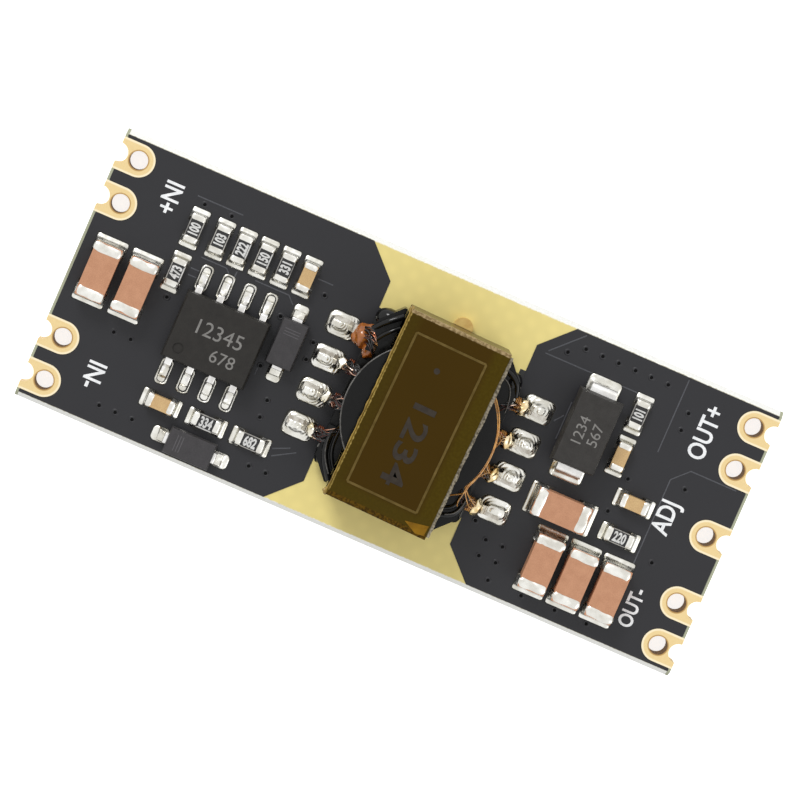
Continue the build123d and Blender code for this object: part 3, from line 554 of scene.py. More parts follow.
def carried(section, path, scale=None):
    """A closed section carried along a path. Its first axis stays square to the path and to the
    direction that the path follows least."""
    path = np.asarray(path, float)
    along = np.gradient(path, axis=0)
    along /= np.linalg.norm(along, axis=1, keepdims=True)
    # two short rows break the tie of a straight path, so that its square direction is Z
    least = np.linalg.svd(np.vstack([along, (0.05, 0, 0), (0, 0.05, 0)]))[2][-1]
    side = np.cross(along, least)
    side /= np.linalg.norm(side, axis=1, keepdims=True)
    over = np.cross(side, along)
    scale = np.ones(len(path)) if scale is None else scale
    rings = path[:, None] + scale[:, None, None] * (
        section[None, :, :1] * side[:, None] + section[None, :, 1:] * over[:, None]
    )
    first = np.broadcast_to(path[:1, None], (1, len(section), 3))
    last = np.broadcast_to(path[-1:, None], (1, len(section), 3))
    rings = np.concatenate([first, rings, last])
    return rings.reshape(-1, 3), grid_faces(len(rings), len(section))


def circle(radius, count=10):
    """A round section: radius times (cos, sin)."""
    angle = np.linspace(0, 2 * math.pi, count, endpoint=False)
    return np.column_stack([radius * np.cos(angle), radius * np.sin(angle)])


def wire(points, radius, count=8, steps=6):
    """A round wire in the transformer's plane, along the smooth line of its points."""
    return carried(circle(radius, count), on_transformer(smooth_line(points, steps)))


def mound(outline, rise, base, centre, turn=0.0, rings=12):
    """A closed drop on a flat land: the outline shrunk ring by ring to its middle, each ring lifted
    by rise, a number or a function of x, y and share, where share is 1 at the outline."""
    share = np.sin(np.linspace(0, math.pi / 2, rings))[:, None]
    flat = outline[None] * share[..., None]
    height = rise(flat[..., 0], flat[..., 1], share) if callable(rise) else rise
    top = np.dstack([flat, np.broadcast_to(height + base, flat.shape[:2])])
    rim = np.column_stack([outline, np.full(len(outline), base)])[None]
    middle = np.zeros((1, len(outline), 3)) + (0, 0, base)
    points = turned(np.concatenate([top, rim, middle]), centre, turn)
    return points.reshape(-1, 3), grid_faces(len(top) + 2, len(outline))


def past_edges(x, y, toe, half_width):
    """How far points lie outside a foot: past its toe and past its side, as one length."""
    return np.hypot(np.maximum(x - toe, 0), np.maximum(np.abs(y) - half_width, 0))


def rounded_off(share, power):
    """A drop's fall towards its outline: the root of 1 - share ** power, flat inside and steep at
    the edge."""
    return np.sqrt(np.clip(1 - share ** power, 0, 1))


def bar(centre, turn, length, width, base, height):
    """A flat bar with small round corners, standing on a level."""
    outline = rounded_rectangle(length, width, 0.3 * min(length, width), 3)
    return mound(outline, height, base, centre, turn, rings=3)


def lump(spot, size, swell, length, seed):
    """A closed lump in the transformer's plane: a ball stretched to a size, pushed in and out by
    ripples of one length."""
    polar, around = np.meshgrid(
        np.linspace(0, math.pi, 24), np.linspace(0, 2 * math.pi, 32, endpoint=False), indexing="ij",
    )
    ball = np.stack(
        [np.cos(polar), np.sin(polar) * np.cos(around), np.sin(polar) * np.sin(around)], -1,
    )
    points = ball * (1 + swell * ripple(ball, length, seed))[..., None] * size + spot
    return on_transformer(points).reshape(-1, 3), grid_faces(24, 32)


def place_of(name):
    """Centre and size of a CAD node in millimetres, and the turn of its longer side."""
    low, high = (np.array(corner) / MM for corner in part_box(name))
    size = high - low
    return (low + high) / 2, size, math.pi / 2 if size[1] > size[0] else 0.0


def lettering(words, height, centre, turn, level, depth=0.012, bold=0.0, stretch=1.0):
    """Characters as flat raised shapes: a text curve thickened by bold and extruded by depth, made
    a mesh, stretched, turned and set on a level."""
    curve = bpy.data.curves.new("lettering", "FONT")
    curve.body = words
    curve.size = height / 0.73
    curve.align_x = "CENTER"
    curve.align_y = "CENTER"
    curve.extrude = depth
    curve.offset = bold
    curve.resolution_u = 4
    holder = bpy.data.objects.new("lettering", curve)
    mesh = bpy.data.meshes.new_from_object(holder)
    mesh.calc_loop_triangles()
    points = np.zeros(len(mesh.vertices) * 3)
    mesh.vertices.foreach_get("co", points)
    faces = np.zeros(len(mesh.loop_triangles) * 3, int)
    mesh.loop_triangles.foreach_get("vertices", faces)
    points = points.reshape(-1, 3)
    middle = (points.min(axis=0) + points.max(axis=0)) / 2
    points -= (middle[0], middle[1], 0)
    bpy.data.objects.remove(holder)
    bpy.data.curves.remove(curve)
    bpy.data.meshes.remove(mesh)
    points *= (stretch, 1, 1)
    return turned(points + (0, 0, level), centre, turn), faces.reshape(-1, 3)


def make_piece(name, shapes, material, replaced=()):
    """Joins shapes into one piece, closes its poles, turns its faces outwards and lets it ride on
    the board."""
    points = np.concatenate([some for some, _ in shapes]) * MM
    first = np.cumsum([0] + [len(some) for some, _ in shapes])
    faces = []
    for (_, some), start in zip(shapes, first):
        faces += (some + start).tolist()
    mesh = bpy.data.meshes.new(name)
    mesh.from_pydata(points.tolist(), [], faces)
    edit = bmesh.new()
    edit.from_mesh(mesh)
    bmesh.ops.remove_doubles(edit, verts=edit.verts, dist=1e-9)
    bmesh.ops.recalc_face_normals(edit, faces=edit.faces)
    edit.to_mesh(mesh)
    edit.free()
    mesh.shade_smooth()
    mesh.set_sharp_from_angle(angle=math.radians(50))
    mesh.materials.append(material)
    piece = bpy.data.objects.new(name, mesh)
    bpy.context.scene.collection.objects.link(piece)
    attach(piece, "root")
    if replaced:
        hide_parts(*replaced)


def dress(names, material):
    """Gives CAD nodes their material."""
    for name in names:
        slots = nodes[name].data.materials
        slots.clear()
        slots.append(material)


# ---- what a user would change ----


def colour_property(name, description, hex_colour):
    """A colour setting, whose default is an sRGB hex value."""
    return FloatVectorProperty(
        name=name, description=description, default=linear(hex_colour)[:3],
        subtype="COLOR", size=3, min=0.0, max=1.0,
    )


def length_property(name, description, millimetres):
    """A length setting, whose default is given in millimetres."""
    return FloatProperty(
        name=name, description=description, default=millimetres * MM, unit="LENGTH",
    )


class StageSettings(bpy.types.PropertyGroup):
    """Floor, light and camera."""

    floor_colour: colour_property("Floor", "Colour of the floor", "#F2F2F2")
    key_power: FloatProperty(
        name="Key lamp", description="Power of the large soft lamp", default=0.95, unit="POWER",
    )
    fill_power: FloatProperty(
        name="Fill lamp", description="Power of the opposite lamp", default=0.3, unit="POWER",
    )
    ambient: FloatProperty(
        name="Ambient", description="Level of the light from all round", default=0.62,
    )
    focal_length: FloatProperty(
        name="Lens", description="Focal length of the camera in mm", default=223.2,
    )


class BoardSettings(bpy.types.PropertyGroup):
    """Circuit board."""

    laminate_colour: colour_property(
        "Laminate", "Colour of the bare glass cloth laminate", "#EFDD8C",
    )
    mask_colour: colour_property("Solder mask", "Colour of the printed skin", "#1B1B1F")
    label_colour: colour_property("Labels", "Colour of the printed characters", "#FFFFFF")
    label_height: length_property("Label height", "Height of a character", 1.05)


class ChipSettings(bpy.types.PropertyGroup):
    """Chip capacitors and resistors."""

    cap_roundness: length_property("Cap roundness", "Corner radius of the end caps", 0.15)
    cap_lumps: length_property("Cap lumps", "Unevenness of the end caps", 0.03)
    meniscus: length_property("Meniscus", "How far the solder runs out from a chip", 0.06)


class TransformerSettings(bpy.types.PropertyGroup):
    """Transformer."""

    tape_colour: colour_property("Tape", "Colour of the film over the ferrite core", "#42300A")
    wire_radius: length_property("Wire radius", "Radius of the lead wires", 0.1)
    wrap_turns: IntProperty(
        name="Wrap turns", description="Turns of wire on each pin", default=3, min=1, max=5,
    )


# ---- operators ----


class MODULE_OT_stage(bpy.types.Operator):
    """Makes the pale floor, the soft lamps, the world and the camera"""

    bl_idname = "module.stage"
    bl_label = "Stage"

    def execute(self, context):
        settings = context.scene.module_stage
        context.scene.view_settings.view_transform = "Standard"
        self.make_floor(context.scene, settings)
        self.make_world(context.scene, settings)
        self.make_lamps(context.scene, settings)
        self.make_camera(context.scene, settings)
        return {"FINISHED"}

    def make_floor(self, scene, settings):
        """A flat square of painted board: matt, shown white to the camera and faintly in
        reflections, with the object's shadow kept."""
        mesh = bpy.data.meshes.new("floor")
        corners = [
            (x * FLOOR_HALF_M, y * FLOOR_HALF_M, 0)
            for x, y in ((-1, -1), (1, -1), (1, 1), (-1, 1))
        ]
        mesh.from_pydata(corners, [], [(0, 1, 2, 3)])
        floor = bpy.data.objects.new("floor", mesh)
        scene.collection.objects.link(floor)
        material = bpy.data.materials.new("matt_paint")
        material.use_nodes = True
        material.node_tree.nodes.clear()
        add = partial(add_node, material.node_tree)
        rays = add("LightPath").outputs
        mirrored = add(
            "Math", {0: rays["Is Glossy Ray"], 1: rays["Is Transmission Ray"]}, operation="MAXIMUM",
        )
        faint = add("Math", {0: mirrored, 1: 0.12}, operation="MULTIPLY")
        level = add("Math", {0: rays["Is Camera Ray"], 1: 0.8, 2: faint}, operation="MULTIPLY_ADD")
        paint = add("BsdfDiffuse", {"Color": tuple(settings.floor_colour) + (1.0,)})
        glow = add("Emission", {"Strength": level})
        both = add("AddShader", {0: paint, 1: glow})
        add("OutputMaterial", {"Surface": both})
        mesh.materials.append(material)

    def make_world(self, scene, settings):
        """Even light from all round, which the camera, mirrors and glass see as white."""
        scene.world = bpy.data.worlds.new("studio")
        scene.world.use_nodes = True
        scene.world.node_tree.nodes.clear()
        add = partial(add_node, scene.world.node_tree)
        rays = add("LightPath").outputs
        seen = add(
            "Math", {0: rays["Is Camera Ray"], 1: rays["Is Glossy Ray"]}, operation="MAXIMUM",
        )
        shown = add("Math", {0: seen, 1: rays["Is Transmission Ray"]}, operation="MAXIMUM")
        level = add("MapRange", {"Value": shown, "To Min": settings.ambient, "To Max": 1.0})
        sky = add("Background", {"Color": (1, 1, 1, 1), "Strength": level})
        add("OutputWorld", {"Surface": sky})

    def make_lamps(self, scene, settings):
        """Two soft round lamps that point at the part, each as name, place, size and power."""
        lamps = (
            ("key_lamp", (-0.20, 0.26, 0.32), 0.16, settings.key_power),
            ("fill_lamp", (0.30, -0.10, 0.26), 0.30, settings.fill_power),
        )
        for name, place, size, power in lamps:
            light = bpy.data.lights.new(name, "AREA")
            light.shape = "DISK"
            light.size = size
            light.energy = power
            lamp = bpy.data.objects.new(name, light)
            lamp.location = place
            lamp.rotation_euler = (-Vector(place)).to_track_quat("-Z", "Y").to_euler()
            scene.collection.objects.link(lamp)

    def make_camera(self, scene, settings):
        """The camera of the photograph, leaning so that the board runs down to the right."""
        camera = bpy.data.objects.new("camera", bpy.data.cameras.new("camera"))
        camera.data.lens = settings.focal_length
        camera.data.sensor_width = 36.0
        camera.data.clip_start = 0.01
        camera.data.clip_end = 10.0
        scene.collection.objects.link(camera)
        scene.camera = camera
        place = Vector(CAMERA_PLACE) * MM
        back = (place - Vector(CAMERA_TARGET) * MM).normalized()
        right = Vector(
            (-math.sin(PICTURE_LEAN), math.cos(PICTURE_LEAN), 0)
        ).cross(back).normalized()
        axes = Matrix((right, back.cross(right), back)).transposed().to_4x4()
        camera.matrix_world = Matrix.Translation(place) @ axes


class MODULE_OT_board(bpy.types.Operator):
    """Finishes the laminate, the solder mask, the copper and the plated terminals, and adds the
    vias and traces under the mask"""

    bl_idname = "module.board"
    bl_label = "Circuit board"

    def execute(self, context):
        settings = context.scene.module_board
        dress(["printed_board_laminate"], laminate_material(hex_text(settings.laminate_colour)))
        mask = mask_material(hex_text(settings.mask_colour))
        dress(["input_solder_mask", "output_solder_mask"], mask)
        terminals = [
            name for name in nodes if name.endswith(("_terminal", "_terminal_1", "_terminal_2"))
        ]
        dress(terminals, gold_material())
        # the lands' dark tone is partly painted contact shade beside the chips
        dress(["component_lands"], finish("tinned_copper"))

        vias = (
            (-15.85, -2.6), (-14.85, -2.6), (-15.0, -6.6), (-14.05, -6.6), (-13.05, -6.6),
            (-14.05, 5.75), (-12.45, 5.75), (-13.95, 0.3), (-7.85, 1.8), (-6.1, 3.8),
            (-6.7, -2.7), (-6.7, -3.7), (-6.2, -6.4), (-5.2, -6.4), (-7.8, -1.1), (-5.65, 1.2),
            (-5.65, 0.2),
            (8.15, 6.8), (9.15, 6.8), (10.1, 6.8), (11.1, 6.8), (12.05, 6.8), (13.05, 6.8),
            (7.3, 6.25), (14.7, 5.8), (14.7, 4.8), (16.2, 1.9), (13.1, 1.2), (12.8, -0.85),
            (16.15, -2.5), (6.35, -4.2), (7.3, -4.95), (8.3, -4.95), (7.3, -5.9), (8.3, -5.9),
            (8.3, -6.95), (10.3, -7.0), (12.3, -7.0), (14.2, -7.0),
        )
        make_piece("tented_vias", [self.via(x, y) for x, y in vias], mask)
        # painted shade: a near-black matt disc in the dimple of each tented via
        dimple_shades = [mound(circle(0.095, 16), 0.004, MASK_TOP + 0.009, spot, rings=4) for spot in vias]
        make_piece("via_dimple_shades", dimple_shades, finish("via_dimple_shade"))
        traces = (
            [(-14.6, 6.05), (-11.9, 6.05)], [(-13.1, 3.05), (-11.6, 3.05), (-11.35, 2.8)],
            [(-9.9, 3.05), (-7.9, 3.05), (-7.5, 2.65)], [(-11.0, 3.1), (-11.0, 2.8)],
            [(-13.4, 2.3), (-12.9, 2.3)], [(-13.4, 1.9), (-12.9, 1.9)], [(-6.8, 4.5), (-5.9, 4.5)],
            [(-7.9, -1.1), (-7.9, -1.7)], [(-5.4, -5.0), (-4.5, -4.6)],
            [(-5.3, -5.4), (-4.1, -4.7)],
            [(7.9, 7.5), (6.3, 5.9)], [(6.2, 5.73), (11.7, 5.73)],
            [(14.0, 7.5), (14.0, 3.2)], [(15.25, -3.0), (15.25, 2.1), (16.1, 2.95), (18.8, 2.95)],
            [(8.6, 3.85), (8.6, 1.65)], [(8.1, 2.5), (8.5, 3.0)],
        )
        # the ridges are coloured lighter grey than the mask: a painted highlight along each track's
        # edge
        make_piece(
            "mask_ridges", [self.ridge(line) for line in traces], finish("mask_edge_highlight"),
        )
        return {"FINISHED"}

    def via(self, x, y):
        """A tented via: a shallow ring round a dimple, its height sin(pi share^2)^2."""
        return mound(
            circle(0.21, 20), lambda across, along, share: 0.03 * np.sin(math.pi * share ** 2) ** 2,
            MASK_TOP - 0.002, (x, y), rings=9,
        )

    def ridge(self, line):
        """The edge of a copper track under the mask: a flat ridge 0.07 mm wide, carried along the
        track."""
        path = [(x, y, MASK_TOP) for x, y in line]
        return carried(rounded_rectangle(0.075, 0.024, 0.01, 3), path)


class MODULE_OT_labels(bpy.types.Operator):
    """Prints the terminals' plain function labels"""

    bl_idname = "module.labels"
    bl_label = "Terminal labels"

    def execute(self, context):
        settings = context.scene.module_board
        # screen-printed epoxy ink: matt, a little thin in places
        ink = speckled_material(
            "screen_printed_ink", hex_text(settings.label_colour), "#DDE0E3", (0.5, 0.7), 0.05,
            0.003,
        )
        height = settings.label_height / MM
        words = (
            ("IN+", -15.92, 5.35, -90, 1.0), ("IN-", -15.92, -5.2, -90, 1.0),
            ("OUT+", 15.95, 5.2, 90, 1.0), ("ADJ", 15.95, 0.05, 90, 1.0),
            ("OUT-", 16.12, -5.2, 90, 0.8),
        )
        shapes = [
            lettering(
                text, share * height, (x, y), math.radians(turn), MASK_TOP + 0.004, bold=0.025,
                stretch=0.8,
            )
            for text, x, y, turn, share in words
        ]
        make_piece("terminal_labels", shapes, ink)
        return {"FINISHED"}


class MODULE_OT_chips(bpy.types.Operator):
    """Finishes the ceramic chips and resistors, and makes their end caps and number codes"""

    bl_idname = "module.chips"
    bl_label = "Chip parts"

    def execute(self, context):
        settings = context.scene.module_chips
        dress(LARGE_CAPACITORS, finish("brown_ceramic"))
        dress(SMALL_CAPACITORS, finish("tan_ceramic"))
        dress(RESISTORS, finish("alumina"))
        dress(["resistor_overcoats"], finish("black_glaze"))
        tin = finish("plated_tin")
        # name of the piece, its chips, how far a cap wraps round, what it replaces and its share of
        # the lumps
        groups = (
            ("large_end_caps", LARGE_CAPACITORS, 0.58, "large_capacitor_end_caps", 1.0),
            ("small_end_caps", SMALL_CAPACITORS, 0.33, "small_capacitor_end_caps", 0.8),
            ("resistor_end_caps_wetted", RESISTORS, 0.33, "resistor_end_caps", 0.7),
        )
        for name, chips, wrap, replaced, lumps in groups:
            cups = [
                self.cup(
                    chip, side, wrap, settings.cap_roundness / MM, lumps * settings.cap_lumps / MM,
                )
                for chip in chips for side in (0, 1)
            ]
            make_piece(name, cups, tin, [replaced])
        # some of the codes have a bar under their figures
        codes = ("473", "101", "220", "334", "682", "100", "103", "222", "150", "331")
        shapes, edges = [], []
        for chip, code in zip(RESISTORS, codes):
            centre, size, turn = place_of(chip)
            across = np.array([math.sin(turn), -math.cos(turn)])
            shapes.append(
                lettering(code, 0.56, centre[:2], turn, GLAZE_TOP + 0.006, 0.006, 0.03, 0.62)
            )
            if code in ("473", "222", "150", "334"):
                shapes.append(bar(centre[:2] + 0.35 * across, turn, 0.8, 0.05, GLAZE_TOP, 0.012))
            for side in (-1, 1):
                middle = centre[:2] + side * (min(size[:2]) / 2 + 0.005) * across
                edges.append(bar(middle, turn, max(size[:2]) - 0.6, 0.05, LAND_TOP + 0.3, 0.155))
        make_piece("resistor_codes", shapes, finish("white_glass_print"))
        # the alumina body shows as a pale line along each side of the glaze
        make_piece("resistor_side_edges", edges, finish("bare_alumina_edge"))
        return {"FINISHED"}

    def cup(self, chip, side, wrap, roundness, lumps):
        """An end cap: rounded rectangles of one size stacked along the chip, drawn in over the end
        to a pole, with a thin wall turned back inside."""
        centre, size, turn = place_of(chip)
        length = max(size[:2]) + CAP_GROWTH
        width = min(size[:2]) + CAP_GROWTH
        height = size[2] + CAP_GROWTH
        seed = int(abs(centre[0] * 37 + centre[1] * 91)) + side * 500
        inner = length / 2 - wrap
        # distance along the chip and share of the section, from the outer pole to the inner one
        profile = np.array([
            (length / 2 + 0.03, 0.0), (length / 2 + 0.025, 0.5), (length / 2 + 0.01, 0.8),
            (length / 2 - 0.02, 0.93),
            (length / 2 - 0.16 * wrap, 0.985), (length / 2 - 0.34 * wrap, 1.02),
            (length / 2 - 0.6 * wrap, 1.035),
            (inner + 0.2 * wrap, 1.02), (inner + 0.08 * wrap, 1.0), (inner + 0.01 * wrap, 0.98),
            (inner, 0.95),
            (inner + 0.02, 0.93), (length / 2 - 0.06, 0.93), (length / 2 - 0.05, 0.5),
            (length / 2 - 0.05, 0.0),
        ])
        loop = fine_outline(width, height, min(roundness, 0.3 * height), 40)
        rings = np.empty((len(profile), len(loop), 3))
        rings[..., 0] = profile[:, :1]
        rings[..., 1] = loop[:, 0] * profile[:, 1:]
        rings[..., 2] = loop[:, 1] * profile[:, 1:]
        outer = (np.arange(len(profile)) < 11)[:, None]
        wave = ripple(rings, 0.7, seed)
        edge = ripple(rings[..., 1:], 0.9, seed + 1)
        swell = 1 + outer * lumps * wave / (0.5 * height)
        rings[..., 1:] *= swell[..., None]
        rings[..., 0] += 0.7 * lumps * edge * (profile[:, :1] < length / 2 - 0.15)
        rings[..., 2] += height / 2 + LAND_TOP
        points = turned(rings, centre, turn + side * math.pi).reshape(-1, 3)
        return points, grid_faces(len(profile), len(loop))


class MODULE_OT_solder(bpy.types.Operator):
    """Makes the solder at the chips, at the flat leads and over the transformer's feet"""

    bl_idname = "module.solder"
    bl_label = "Solder"

    def execute(self, context):
        meniscus = context.scene.module_chips.meniscus / MM
        solder = finish("tin_solder")
        shapes = []
        # chips, their land's length and width, how far it reaches past the cap, the solder's climb,
        # the cap's wrap
        groups = (
            (LARGE_CAPACITORS, 1.15, 1.81, 0.335, 0.42, 0.58),
            (SMALL_CAPACITORS, 0.8, 1.03, 0.33, 0.34, 0.33),
            (RESISTORS, 0.8, 1.03, 0.33, 0.26, 0.33),
        )
        for chips, length, width, margin, climb, wrap in groups:
            for chip in chips:
                centre, size, turn = place_of(chip)
                reach = (max(size[:2]) + CAP_GROWTH) / 2 + margin - length / 2
                half_width = (min(size[:2]) + CAP_GROWTH) / 2
                for way in (turn, turn + math.pi):
                    shapes.append(self.fillet(
                        centre[:2] + reach * heading(way), way, length, width, length / 2 - margin,
                        half_width, climb, wrap, meniscus,
                    ))
        make_piece("chip_solder", shapes, solder, ["chip_solder_fillets"])
        lands = self.lead_lands()
        make_piece(
            "lead_solder", [self.pillow(*land) for land in lands], solder,
            ["lead_solder_fillets"],
        )
        # round the controller's narrow leads the land's rim shines, and a dark ring behind it is
        # painted shade in the groove
        narrow = lands[:8]
        make_piece(
            "lead_solder_rims", [self.ring(*land, 0.05, 0.03, 1) for land in narrow], solder,
        )
        make_piece(
            "lead_groove_shades", [self.ring(*land, 0.12, 0.034, 2) for land in narrow],
            finish("groove_shade"),
        )
        heaps = [
            self.heap(ISOLATION_X + side * TRANSFORMER_LAND_X, TRANSFORMER[1] + row, side)
            for side in (-1, 1) for row in PIN_ROWS
        ]
        make_piece("transformer_solder", heaps, solder, ["transformer_solder_joints"])
        return {"FINISHED"}

    def fillet(self, spot, turn, length, width, face, half_width, climb, wrap, meniscus):
        """Solder round a chip's end: its height falls off as exp(-distance / meniscus) away from
        the metal, and to nothing at the land's edge and where the metal ends."""
        outline = fine_outline(length, width, 0.12, 48)
        # past the cap the solder has drawn back under the chip
        under = outline[:, 0] < face - wrap + 0.03
        outline[under, 1] = np.clip(outline[under, 1], 0.08 - half_width, half_width - 0.08)
        seed = int(abs(spot[0] * 53 + spot[1] * 17 + turn * 11))

        def rise(x, y, share):
            gap = past_edges(x, y, face, half_width)
            lumps = 1 + 0.07 * ripple(np.stack([x, y], -1), 0.8, seed)
            metal = np.clip((x - face + wrap) / 0.2, 0, 1)
            body = climb * metal * np.exp(-gap / meniscus) + 0.05
            return body * lumps * rounded_off(share, 9)

        return mound(outline, rise, LAND_TOP, spot, turn, rings=20)

    def lead_lands(self):
        """Centre, turn, length and width of each flat lead's land, how far its foot reaches from
        the land's middle, and its half width."""
        centre = place_of("controller_body")[0]
        lands = [
            (
                (centre[0] + (column - 1.5) * LEAD_PITCH, centre[1] + side * 2.75),
                side * math.pi / 2, 1.5, 0.7, 0.25, 0.2,
            )
            for column in range(4) for side in (1, -1)
        ]
        for name, reach, land in (
            (SMALL_DIODES[0], 1.75, (1.0, 0.85, 0.1, 0.3)),
            (SMALL_DIODES[1], 1.75, (1.0, 0.85, 0.1, 0.3)),
            ("rectifier_body", 2.275, (1.5, 1.87, 0.33, 0.72)),
        ):
            centre, _, turn = place_of(name)
            lands += [
                (centre[:2] + reach * heading(way), way, *land) for way in (turn, turn + math.pi)
            ]
        return lands

    def pillow(self, spot, turn, length, width, toe, foot):
        """Solder round a flat foot: a thin layer on the land that climbs the foot's edges as
        exp(-distance / meniscus)."""
        outline = fine_outline(length, width, 0.25, 60)
        seed = int(abs(spot[0] * 29 + spot[1] * 61))

        def rise(x, y, share):
            gap = past_edges(x, y, toe, foot)
            lumps = 1 + 0.2 * ripple(np.stack([x, y], -1), 0.6, seed)
            height = FOOT_SOLDER + FOOT_CLIMB * np.exp(-gap / FOOT_MENISCUS)
            return height * lumps * rounded_off(share, 9)

        return mound(outline, rise, LAND_TOP, spot, turn, rings=22)

    def ring(self, spot, turn, length, width, toe, foot, inset, radius, seed):
        """A fine round that follows a land's outline, inset from it and lying on the solder,
        thicker and thinner by seeded ripples."""
        outline = fine_outline(length - 2 * inset, width - 2 * inset, 0.25 - 0.5 * inset, 60)
        outline = np.vstack([outline, outline[:1]])
        gap = past_edges(outline[:, 0], outline[:, 1], toe, foot)
        height = LAND_TOP + FOOT_SOLDER + FOOT_CLIMB * np.exp(-gap / FOOT_MENISCUS)
        path = np.column_stack([outline, height])
        thick = 1 + 0.45 * ripple(outline, 0.7, int(abs(spot[0] * 41 + spot[1] * 13)) + seed)
        points, faces = carried(circle(radius, 8), path, thick)
        return turned(points, spot, turn), faces

    def heap(self, x, y, side):
        """Hand-made solder over a bent pin: a dome exp(-(distance from the foot / 0.2)^2) on a
        skirt, with shallow cosine rings round its middle."""
        outline = fine_outline(1.74, 1.36, 0.36, 72)
        seed = int(abs(x * 31 + y * 77)) + side

        def rise(u, v, share):
            # distance from the foot, which is 1 mm long and 0.5 mm wide under the dome
            gap = past_edges(np.abs(u - 0.08 * side), v, 0.45, 0.12)
            top = np.hypot(u - 0.08 * side, v)
            dome = 0.27 * np.exp(-(gap / 0.2) ** 2) + 0.1 * np.exp(-(top / 0.5) ** 2)
            # the skin froze in rings round the iron's tip
            spot = np.stack([u, v], -1)
            way = np.hypot(u - 0.12 * side, v + 0.04 * side) + 0.1 * ripple(spot, 0.9, seed)
            rings = 0.011 * np.cos(2 * math.pi * way / 0.19)
            skirt = 0.12 + 0.03 * ripple(spot, 1.3, seed + 7)
            return (skirt + dome + rings) * rounded_off(share, 12)

        return mound(outline, rise, LAND_TOP, (x, y), rings=44)


class MODULE_OT_packages(bpy.types.Operator):
    """Finishes the controller, the diodes and the rectifier, and makes their leads and plain number
    marks"""

    bl_idname = "module.packages"
    bl_label = "Moulded packages"

    def execute(self, context):
        dress(["controller_body"], finish("moulded_epoxy"))
        # painted sheen: the rectifier's compound is coloured lighter
        dress(["rectifier_body"], finish("sheen_lightened_epoxy"))
        dress(SMALL_DIODES, finish("grey_moulded_epoxy"))
        strip = finish("tinned_strip")
        centre = place_of("controller_body")[0]
        leads = [
            self.lead(
                (centre[0] + (column - 1.5) * LEAD_PITCH, centre[1]), side * math.pi / 2,
                1.7, 0.825, 2.25, 2.45, 3.0, 0.2, 0.41,
            ) for column in range(4) for side in (1, -1)
        ]
        make_piece("controller_gull_leads", leads, strip, ["controller_leads"])
        leads = []
        for name in SMALL_DIODES:
            centre, _, turn = place_of(name)
            for way in (turn, turn + math.pi):
                leads.append(self.lead(centre[:2], way, 1.1, 0.58, 1.47, 1.51, 1.85, 0.12, 0.6))
        make_piece("diode_leads_bent", leads, strip, ["small_diode_leads"])
        dress(["rectifier_leads"], finish("satin_tinned_strip"))
        shapes = []
        # body, its stand-off and thickness, figures, their height, place from its middle and turn
        for name, top, words, height, shift, turn in (
            ("controller_body", 0.1 + 1.45, "12345", 0.86, (0.12, 0.35), 0.0),
            ("controller_body", 0.1 + 1.45, "678", 0.72, (0.75, -0.85), 0.0),
            ("rectifier_body", 0.2 + 2.0, "1234", 0.62, (-0.4, 0.0), math.pi / 2),
            ("rectifier_body", 0.2 + 2.0, "567", 0.62, (0.45, 0.0), math.pi / 2),
        ):
            spot = place_of(name)[0][:2] + shift
            shapes.append(lettering(words, height, spot, turn, LAND_TOP + top - 0.002, 0.004))
        make_piece("package_marks", shapes, finish("laser_mark"))
        # three fine bars across the small diodes show which end is which
        shapes = []
        for name, end in zip(SMALL_DIODES, (1, -1)):
            centre, size, turn = place_of(name)
            for step in (0.5, 0.66, 0.82):
                spot = centre[:2] + end * step * heading(turn)
                shapes.append(
                    bar(spot, turn + math.pi / 2, 0.9, 0.045, centre[2] + size[2] / 2 - 0.004, 0.01)
                )
        make_piece("polarity_bars", shapes, finish("faint_laser_mark"))
        return {"FINISHED"}

    def lead(self, spot, turn, start, high, shoulder, heel, toe, thickness, width):
        """A bent flat lead: a rounded strip section carried along a spline that leaves the body,
        drops and runs out flat."""
        low = thickness / 2
        path = np.array([
            (start, 0, high), (start + 0.1, 0, high), (shoulder - 0.1, 0, high),
            (shoulder, 0, high), (shoulder, 0, high),
            (heel, 0, low), (heel, 0, low), (heel + 0.1, 0, low), (toe - 0.05, 0, low),
            (toe, 0, low),
        ])
        points, faces = carried(
            rounded_rectangle(thickness, width, 0.3 * thickness, 4), smooth_line(path, 5),
        )
        return turned(points + (0, 0, LAND_TOP), spot, turn), faces


